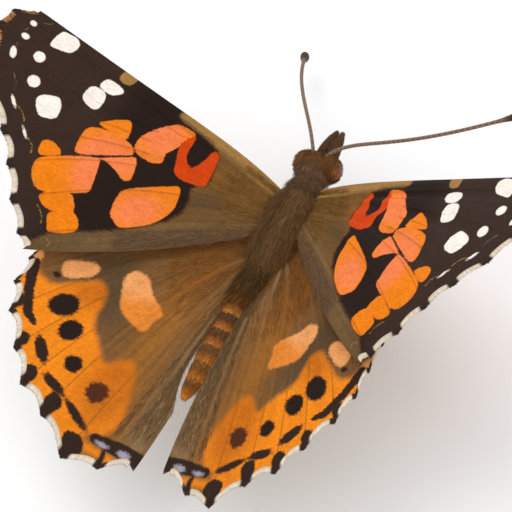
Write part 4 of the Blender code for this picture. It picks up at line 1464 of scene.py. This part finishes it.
def palp_path(side, count):
    """From the face to the tip, closing in by t^2 and bowed a little upwards."""
    t = np.linspace(0, 1, count)
    y0, z0 = PALP_BASE
    return np.stack([side * (PALP_X - 0.20 * t ** 2), y0 + (PALP_TIP[0] - 0.15 - y0) * t,
                     z0 + (PALP_TIP[1] - z0) * t + 0.12 * np.sin(math.pi * t)], 1)


def palp_radius(t):
    """0.52 (0.9 + 0.45 t - 1.15 t^2) + 0.012, thickest a fifth of the way to a blunt tip."""
    return 0.52 * (0.90 + 0.45 * t - 1.15 * t ** 2) + 0.012


def palp_hair(label, side, path):
    """Hair all around a palp, leaning to its tip and shorter towards it."""
    rng, count = chance(50 + side), PALP_HAIRS
    t = rng.uniform(0.0, 0.98, count)
    angle = rng.uniform(-math.pi, math.pi, count)
    share = np.linspace(0, 1, PALP_RINGS)
    centre = np.stack([np.interp(t, share, path[:, k]) for k in range(3)], 1)
    along, first, second = ring_frame(path, np.array((0, 0, 1.0)))
    picks = (t * (PALP_RINGS - 1)).astype(int)
    out = np.cos(angle)[:, None] * first[picks] + np.sin(angle)[:, None] * second[picks]
    roots = centre + out * palp_radius(t)[:, None]
    heads = along[picks] + out * rng.uniform(0.15, 0.50, count)[:, None]
    shade = blend(tone("6A4A30"), tone("A8977C"), ease(-out[:, 2], 0.3, 0.9))
    shade = shade * rng.uniform(0.65, 1.25, count)[:, None]
    unwrap = np.stack([0.5 + angle / 7, 0.2 + 0.6 * t], 1)
    lengths = rng.uniform(0.22, 0.46, count) * (1 - 0.35 * t)
    make_tufts(f"palp_{label}_hair", roots - out * 0.02, heads, out, lengths,
               np.full(count, PALP_HAIR_WIDTH), shade, unwrap, HAIR, "palp", bend=0.1)


for side, label in SIDES.items():
    path = palp_path(side, PALP_RINGS)
    radius = palp_radius(np.linspace(0, 1, PALP_RINGS))
    points, faces, _ = swept(path, radius, PALP_SIDES, (0, 0, 1.0))
    tint = np.broadcast_to(tone("4A3424"), (len(points), 3))
    palp = make_piece(f"palp_{label}_core", points, faces, [body.data.materials[0]],
                      None, {"coat": tint})
    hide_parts(f"palp_{label}")
    palp_hair(label, side, path)

# %% Tongue
TONGUE_CENTRE = (5.70, -3.20)
TONGUE_OUTER, TONGUE_PITCH, TONGUE_TURNS = 1.05, 0.80, 1.05
TONGUE_START = math.radians(115)
TONGUE_MOUTH = (0.0, 4.95, -1.35)
TONGUE_SIDES, TONGUE_RINGS = 18, 90.0


def tongue_material():
    """Dark brown horn with fine rings across it."""
    graph = Graph("tongue", 0.38, Specular_IOR_Level=0.5)
    phase = graph.sums("FRACT", graph.sums("MULTIPLY", graph.field("along"), TONGUE_RINGS))
    ring = graph.ramp(graph.sums("ABSOLUTE", graph.sums("SUBTRACT", phase, 0.5)), 0.0, 0.5)
    graph.plug(graph.mix(ring, tone("5A3A20"), tone("2A1810")), "Base Color")
    graph.bump(ring, 0.5, 0.00003)
    return graph.material


# The spiral: radius = outer - pitch * turns * t, while the angle runs on faster inwards.
t = np.linspace(0, 1, 420)
angle = TONGUE_START - 2 * math.pi * (TONGUE_TURNS * t + 0.9 * t ** 3)
radius = TONGUE_OUTER - TONGUE_PITCH * TONGUE_TURNS * t
path = np.stack([0 * t, TONGUE_CENTRE[0] + radius * np.cos(angle),
                 TONGUE_CENTRE[1] + radius * np.sin(angle)], 1)
start = np.linspace(0, 1, 60)[:, None]
lead = np.array(TONGUE_MOUTH) * (1 - start) + path[0] * start
lead[:, 1] -= 0.10 * np.sin(math.pi * start[:, 0])
path = np.vstack([lead[:-1], path])
thick = np.interp(np.linspace(0, 1, len(path)), (0, 0.15, 1), (0.20, 0.17, 0.06))
points, faces, along = swept(path, thick, TONGUE_SIDES, (1.0, 0, 0), flatten=0.85)
tongue = make_piece("proboscis_coil", points, faces, [tongue_material()], None,
                    {"along": along})
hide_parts("proboscis")

# %% [markdown]
# ## Legs
#
# Thigh, shin and a five-jointed foot, each thinner than the last, with a pair of claws.
# The front pair is short and brush-like in this family and is held folded to the chest. A
# leg could be nine parts on a skeleton, but a still model needs no joints. So a leg is one
# tube along a smooth curve through hip, knee, ankle and toe, and its radius makes the parts.

# %% Leg paths
LEGS = {
    "front": ((0.85, 1.10, 3.98), (1.15, 3.20, 3.35), (1.10, 2.95, 1.75), (0.95, 1.60, 1.15)),
    "mid": ((1.20, -0.70, 3.64), (4.70, 0.70, 4.70), (6.30, 2.10, 0.55), (8.40, 4.60, 0.19)),
    "hind": ((1.05, -3.00, 3.52), (4.10, -5.90, 5.00), (5.50, -9.60, 0.55),
             (6.60, -13.60, 0.19)),
}
LEG_STEPS = 160
FOOT_FROM = 0.72
LEAST_HEIGHT = 0.13


def leg_path(pair):
    """The smooth curve through hip, knee, ankle and toe, as heights above the floor.

    A foot lies level, and a short lead runs from inside the chest to the hip.
    """
    points = np.array(LEGS[pair])
    middle = [(points[k] + points[k + 1]) / 2 for k in range(3)]
    order = [points[0], middle[0], points[1], middle[1], points[2], middle[2], points[3]]
    if pair != "front":
        order[5] = order[5] * (1, 1, 0) + np.array((0, 0, points[3][2]))
    path = smooth_rows(order, LEG_STEPS)
    if pair != "front":
        share = np.linspace(0, 1, LEG_STEPS)
        level = share >= FOOT_FROM
        path[level, 2] = np.minimum(path[level, 2], points[3][2])
        lower = path[:, 2] - 0.06 * ease(share, 0.6, FOOT_FROM)
        path[:, 2] = np.maximum(lower, LEAST_HEIGHT)
    inner = points[0] * (0.8, 1.0, 1.0) + (0.0, 0.0, 1.30)
    lead = np.linspace(inner, path[0], 16)[:-1]
    path = np.vstack([lead, path])
    path[:, 2] -= HINGE_HEIGHT
    return path


def leg_radius(t, pair):
    """Spindle-shaped thigh, thin shin with a knee, and a foot of five short segments."""
    thigh = 0.30 - 0.10 * np.abs(t / 0.33 - 0.55)
    shin = 0.165 + 0.03 * np.cos((t - 0.33) / 0.34 * math.pi)
    foot = 0.115 + 0.022 * np.cos((t - 0.66) / 0.068 * 2 * math.pi)
    radius = np.where(t < 0.34, thigh, np.where(t < 0.67, shin, foot))
    kernel = np.ones(7) / 7
    radius = np.convolve(np.pad(radius, 3, mode="edge"), kernel, "valid")
    radius = radius * np.sqrt(np.clip((1 - t) / 0.012, 0.02, 1))
    return radius * (0.8 if pair == "front" else 1.0)


# %% Claws and spurs
CLAW_REACH, CLAW_SPREAD, CLAW_RADIUS = 0.42, 0.16, 0.045
SPUR_AT, SPUR_REACH, SPUR_RADIUS = 0.70, 0.45, 0.035
SPIKE_SIDES = 8


def claws(path, across):
    """Two hooks: toe + ahead (0.42 k - 0.1) +- across 0.16 k^0.7 + up 0.1 sin(pi k) - 0.09 k."""
    ahead = unit(path[-1] - path[-8])
    k = np.linspace(0, 1, 12)[:, None]
    hook = np.array((0, 0, 1.0)) * (0.10 * np.sin(math.pi * k) - 0.09 * k)
    middle = path[-1] - ahead * 0.1 + ahead * CLAW_REACH * k + hook
    return [swept(middle + across * spread * CLAW_SPREAD * k ** 0.7,
                  CLAW_RADIUS * (1 - 0.9 * k[:, 0]), SPIKE_SIDES, across) for spread in (-1, 1)]


def spurs(path, across):
    """Two spikes by the shin's end: path + down 0.45 k +- across (0.14 + 0.16 k)."""
    at = int(SPUR_AT * len(path))
    down = unit(path[at + 12] - path[at])
    k = np.linspace(0, 1, 8)[:, None]
    return [swept(path[at] + down * SPUR_REACH * k + across * spur * (0.14 + 0.16 * k),
                  SPUR_RADIUS * (1 - 0.9 * k[:, 0]), SPIKE_SIDES, (0.3, 0.2, 1.0))
            for spur in (-1, 1)]


# %% Scales of a leg
# How many scales, how they crowd towards the hip, and their length.
FOLDED_COAT, WALKING_COAT = (1500, 0.9, 0.34), (1700, 1.15, 0.27)


def leg_scales(pair, label, side, path, radius, across):
    """Scales all around a leg, shorter and finer on the foot, pale below."""
    rng = chance(70 + side + 3 * list(LEGS).index(pair))
    count, crowd, length = FOLDED_COAT if pair == "front" else WALKING_COAT
    spot = rng.uniform(0.02, 0.97, count) ** crowd
    row = spot * (len(path) - 1)
    k = np.minimum(row.astype(int), len(path) - 2)
    centre = path[k] + (path[k + 1] - path[k]) * (row - k)[:, None]
    along, first, second = ring_frame(path, across)
    angle = rng.uniform(-math.pi, math.pi, count)
    out = np.cos(angle)[:, None] * first[k] + np.sin(angle)[:, None] * second[k]
    heads = along[k] + out * rng.uniform(0.1, 0.35, count)[:, None]
    fine = 1 - 0.6 * ease(spot, 0.3, 0.75)
    lengths = length * fine * rng.uniform(0.7, 1.2, count)
    shade = blend(tone("6B5138"), tone("D6C4A4"), ease(-out[:, 2], -0.3, 0.6))
    shade = shade * rng.uniform(0.65, 1.2, count)[:, None]
    roots = centre + out * (radius[k] * 0.96)[:, None]
    make_tufts(f"leg_{pair}_{label}_scales", roots, heads, out, lengths, 0.030 * fine, shade,
               np.stack([0.5 + angle / 7, 0.1 + 0.8 * spot], 1), HAIR, f"leg_{pair}",
               bend=0.08, blunt=0.3)


# %% Build the six legs
LEG_SIDES = 18
LEAD_SHARE = -0.09


def leg_material():
    """Brown cuticle, mottled pale and dark, under cream and brown scales."""
    graph = Graph("leg cuticle", 0.5, Specular_IOR_Level=0.4)
    grain = graph.noise(4200.0, 3.0)
    graph.plug(graph.mix(grain, tone("9A7E5A"), tone("5E4630")), "Base Color")
    graph.bump(grain, 0.4, 0.00003)
    return graph.material


LEG_FINISH = leg_material()
for pair in LEGS:
    for side, label in SIDES.items():
        path = leg_path(pair) * (side, 1, 1)
        across = unit(np.cross(path[-1] - path[0], (0.0, 0.0, 1.0)))
        radius = leg_radius(np.clip(np.linspace(LEAD_SHARE, 1, len(path)), 0, 1), pair)
        points, faces, _ = swept(path, radius, LEG_SIDES, across)
        spikes = [] if pair == "front" else claws(path, across)
        for extra, extra_faces, _ in spikes + spurs(path, across):
            faces = faces + [part + len(points) for part in extra_faces]
            points = np.vstack([points, extra])
        leg = make_piece(f"leg_{pair}_{label}_limb", points, faces, [LEG_FINISH])
        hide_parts(f"leg_{pair}_{label}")
        leg_scales(pair, label, side, path, radius, across)

# %% [markdown]
# ## Hair on the wings
#
# Long hair grows from the wing roots and along the inner edge of the hindwings, where it
# lies towards the tail and hides the join between wing and body. Streaks in the material
# alone leave the wing too smooth from the side. So tufts are rooted on the sheet by chance,
# and they grow along the grid's own lines, so they follow the veins.

# %% Wing hair
def wing_hair(wing, side, name, count, guides, reach, length, width, palette, seed, lift,
              lean=0.0):
    """Tufts on a wing's upper side, rooted between two guides as far out as `reach`.

    The root's share of the way out is reach * r^1.4 for random r, so most lie close in.
    """
    rng, plan = chance(seed), plans[wing["name"], side]
    label = SIDES[side]
    at = rng.uniform(*guides, count)
    t = reach[0] + (reach[1] - reach[0]) * rng.random(count) ** 1.4
    here, there = plan_at(plan, at, t), plan_at(plan, at, t + 0.02)
    level = pleat_height(at, t) + 0.9 * MEMBRANE_HALF
    root, ahead = on_wing(wing, side, *here.T, level), on_wing(wing, side, *there.T, level)
    up = np.broadcast_to(wing_axes(wing, side)[2] * (side, 1, 1), root.shape)
    heads = unit(ahead - root) + up * (lift * rng.uniform(0.3, 1.3, count))[:, None]
    heads = heads + np.cross(up, heads) * side * rng.normal(lean, 0.20, count)[:, None]
    shade = blend(*(tone(code) for code in palette), rng.random(count))
    shade = shade * rng.uniform(0.75, 1.2, count)[:, None]
    make_tufts(f"{wing['name']}_{label}_{name}", root, heads, up,
               length * rng.uniform(0.6, 1.2, count), np.full(count, width), shade,
               here / UNWRAP_SPAN + 0.5, HAIR, wing["name"], bend=0.05)


for side in SIDES:
    wing_hair(FOREWING, side, "base_hair", 2600, guides=(0.3, 8.6), reach=(0.02, 0.19),
              length=1.0, width=0.026, palette=("7E5A28", "A67A40"), seed=90 + side, lift=0.13)
    wing_hair(FOREWING, side, "rear_hair", 2600, guides=(8.05, 8.95), reach=(0.04, 0.60),
              length=1.0, width=0.024, palette=("6C5036", "8C6E4E"), seed=99 + side, lift=0.10)
    wing_hair(HINDWING, side, "base_hair", 4400, guides=(0.5, 9.0), reach=(0.02, 0.40),
              length=1.1, width=0.024, palette=("80501E", "AA7438"), seed=93 + side, lift=0.10)
    wing_hair(HINDWING, side, "edge_hair", 3400, guides=(8.7, 9.95), reach=(0.04, 0.87),
              length=0.85, width=0.024, palette=("6C4E30", "876844"), seed=96 + side,
              lift=0.12, lean=-0.05)

# %% [markdown]
# ## Floor, light and camera
#
# The butterfly stands on a plain pale floor, as on a museum's table. One small lamp would
# give hard shadows and bright specks on the scales. Two large lamps and a bright world give
# the photo's even light instead. The camera looks from above, rolled so that the body
# points to the upper right, through a long lens from a quarter of a metre.

# %% Floor
FLOOR = 2.0
corners = [(-FLOOR, -FLOOR, 0), (FLOOR, -FLOOR, 0), (FLOOR, FLOOR, 0), (-FLOOR, FLOOR, 0)]
floor_mesh = bpy.data.meshes.new("floor")
floor_mesh.from_pydata(corners, [], [(0, 1, 2, 3)])
floor = bpy.data.objects.new("floor", floor_mesh)
bpy.context.scene.collection.objects.link(floor)
floor_graph = Graph("pale floor", 0.85, Specular_IOR_Level=0.1)
floor_tint = floor_graph.mix(floor_graph.noise(40.0), (0.86, 0.86, 0.855), (0.90, 0.90, 0.895))
floor_graph.plug(floor_tint, "Base Color")
floor_mesh.materials.append(floor_graph.material)

# %% Light
WORLD_TINT, WORLD_STRENGTH = (0.97, 0.98, 1.0, 1.0), 0.93
world = bpy.data.worlds.new("studio")
world.use_nodes = True
backdrop = world.node_tree.nodes["Background"].inputs
backdrop["Color"].default_value, backdrop["Strength"].default_value = WORLD_TINT, WORLD_STRENGTH
bpy.context.scene.world = world
bpy.context.scene.view_settings.view_transform = "Standard"


def soft_light(name, where, size, power):
    """A square area light at `where` metres, turned to face the butterfly."""
    data = bpy.data.lights.new(name, "AREA")
    data.size, data.energy = size, power
    lamp = bpy.data.objects.new(name, data)
    back = unit(np.array(where))
    side = unit(np.cross((0.0, 1.0, 0.0), back))
    turn = np.stack([side, np.cross(back, side), back], 1)
    lamp.matrix_world = Matrix.Translation(where) @ Matrix(turn.tolist()).to_4x4()
    bpy.context.scene.collection.objects.link(lamp)
    print(f"{name}: {power} W from {where}")


soft_light("key light", (-0.22, 0.30, 0.55), 0.45, 1.5)
soft_light("fill light", (0.45, -0.25, 0.35), 0.50, 0.8)

# %% Camera
PHOTO_PIXELS = 512
PIXELS_PER_MM = 12.33
CAMERA_DISTANCE = 250.0
CAMERA_TURNS = (-0.42, -0.52, -0.29)
HINGE_PIXEL = (291.65, 208.05)
SENSOR = 36.0


def turned(x, y, z):
    """Rotation about X, then Y, then Z; its rows are the camera's right, up and back."""
    return np.array(Matrix.Rotation(z, 3, "Z") @ Matrix.Rotation(y, 3, "Y")
                    @ Matrix.Rotation(x, 3, "X"))


axes = turned(*CAMERA_TURNS)
aside = (np.array((PHOTO_PIXELS / 2 - HINGE_PIXEL[0], HINGE_PIXEL[1] - PHOTO_PIXELS / 2))
         / PIXELS_PER_MM)
eye = aside[0] * axes[0] + aside[1] * axes[1] + CAMERA_DISTANCE * axes[2]
camera_data = bpy.data.cameras.new("camera")
camera_data.sensor_width = SENSOR
camera_data.lens = PIXELS_PER_MM * CAMERA_DISTANCE / PHOTO_PIXELS * SENSOR
camera_data.clip_start, camera_data.clip_end = 0.01, 10.0
camera = bpy.data.objects.new("camera", camera_data)
camera.matrix_world = Matrix.Translation(place(eye)) @ Matrix(axes.T.tolist()).to_4x4()
bpy.context.scene.collection.objects.link(camera)
bpy.context.scene.camera = camera
print("camera at", place(eye).round(4), "lens", round(camera_data.lens, 1))
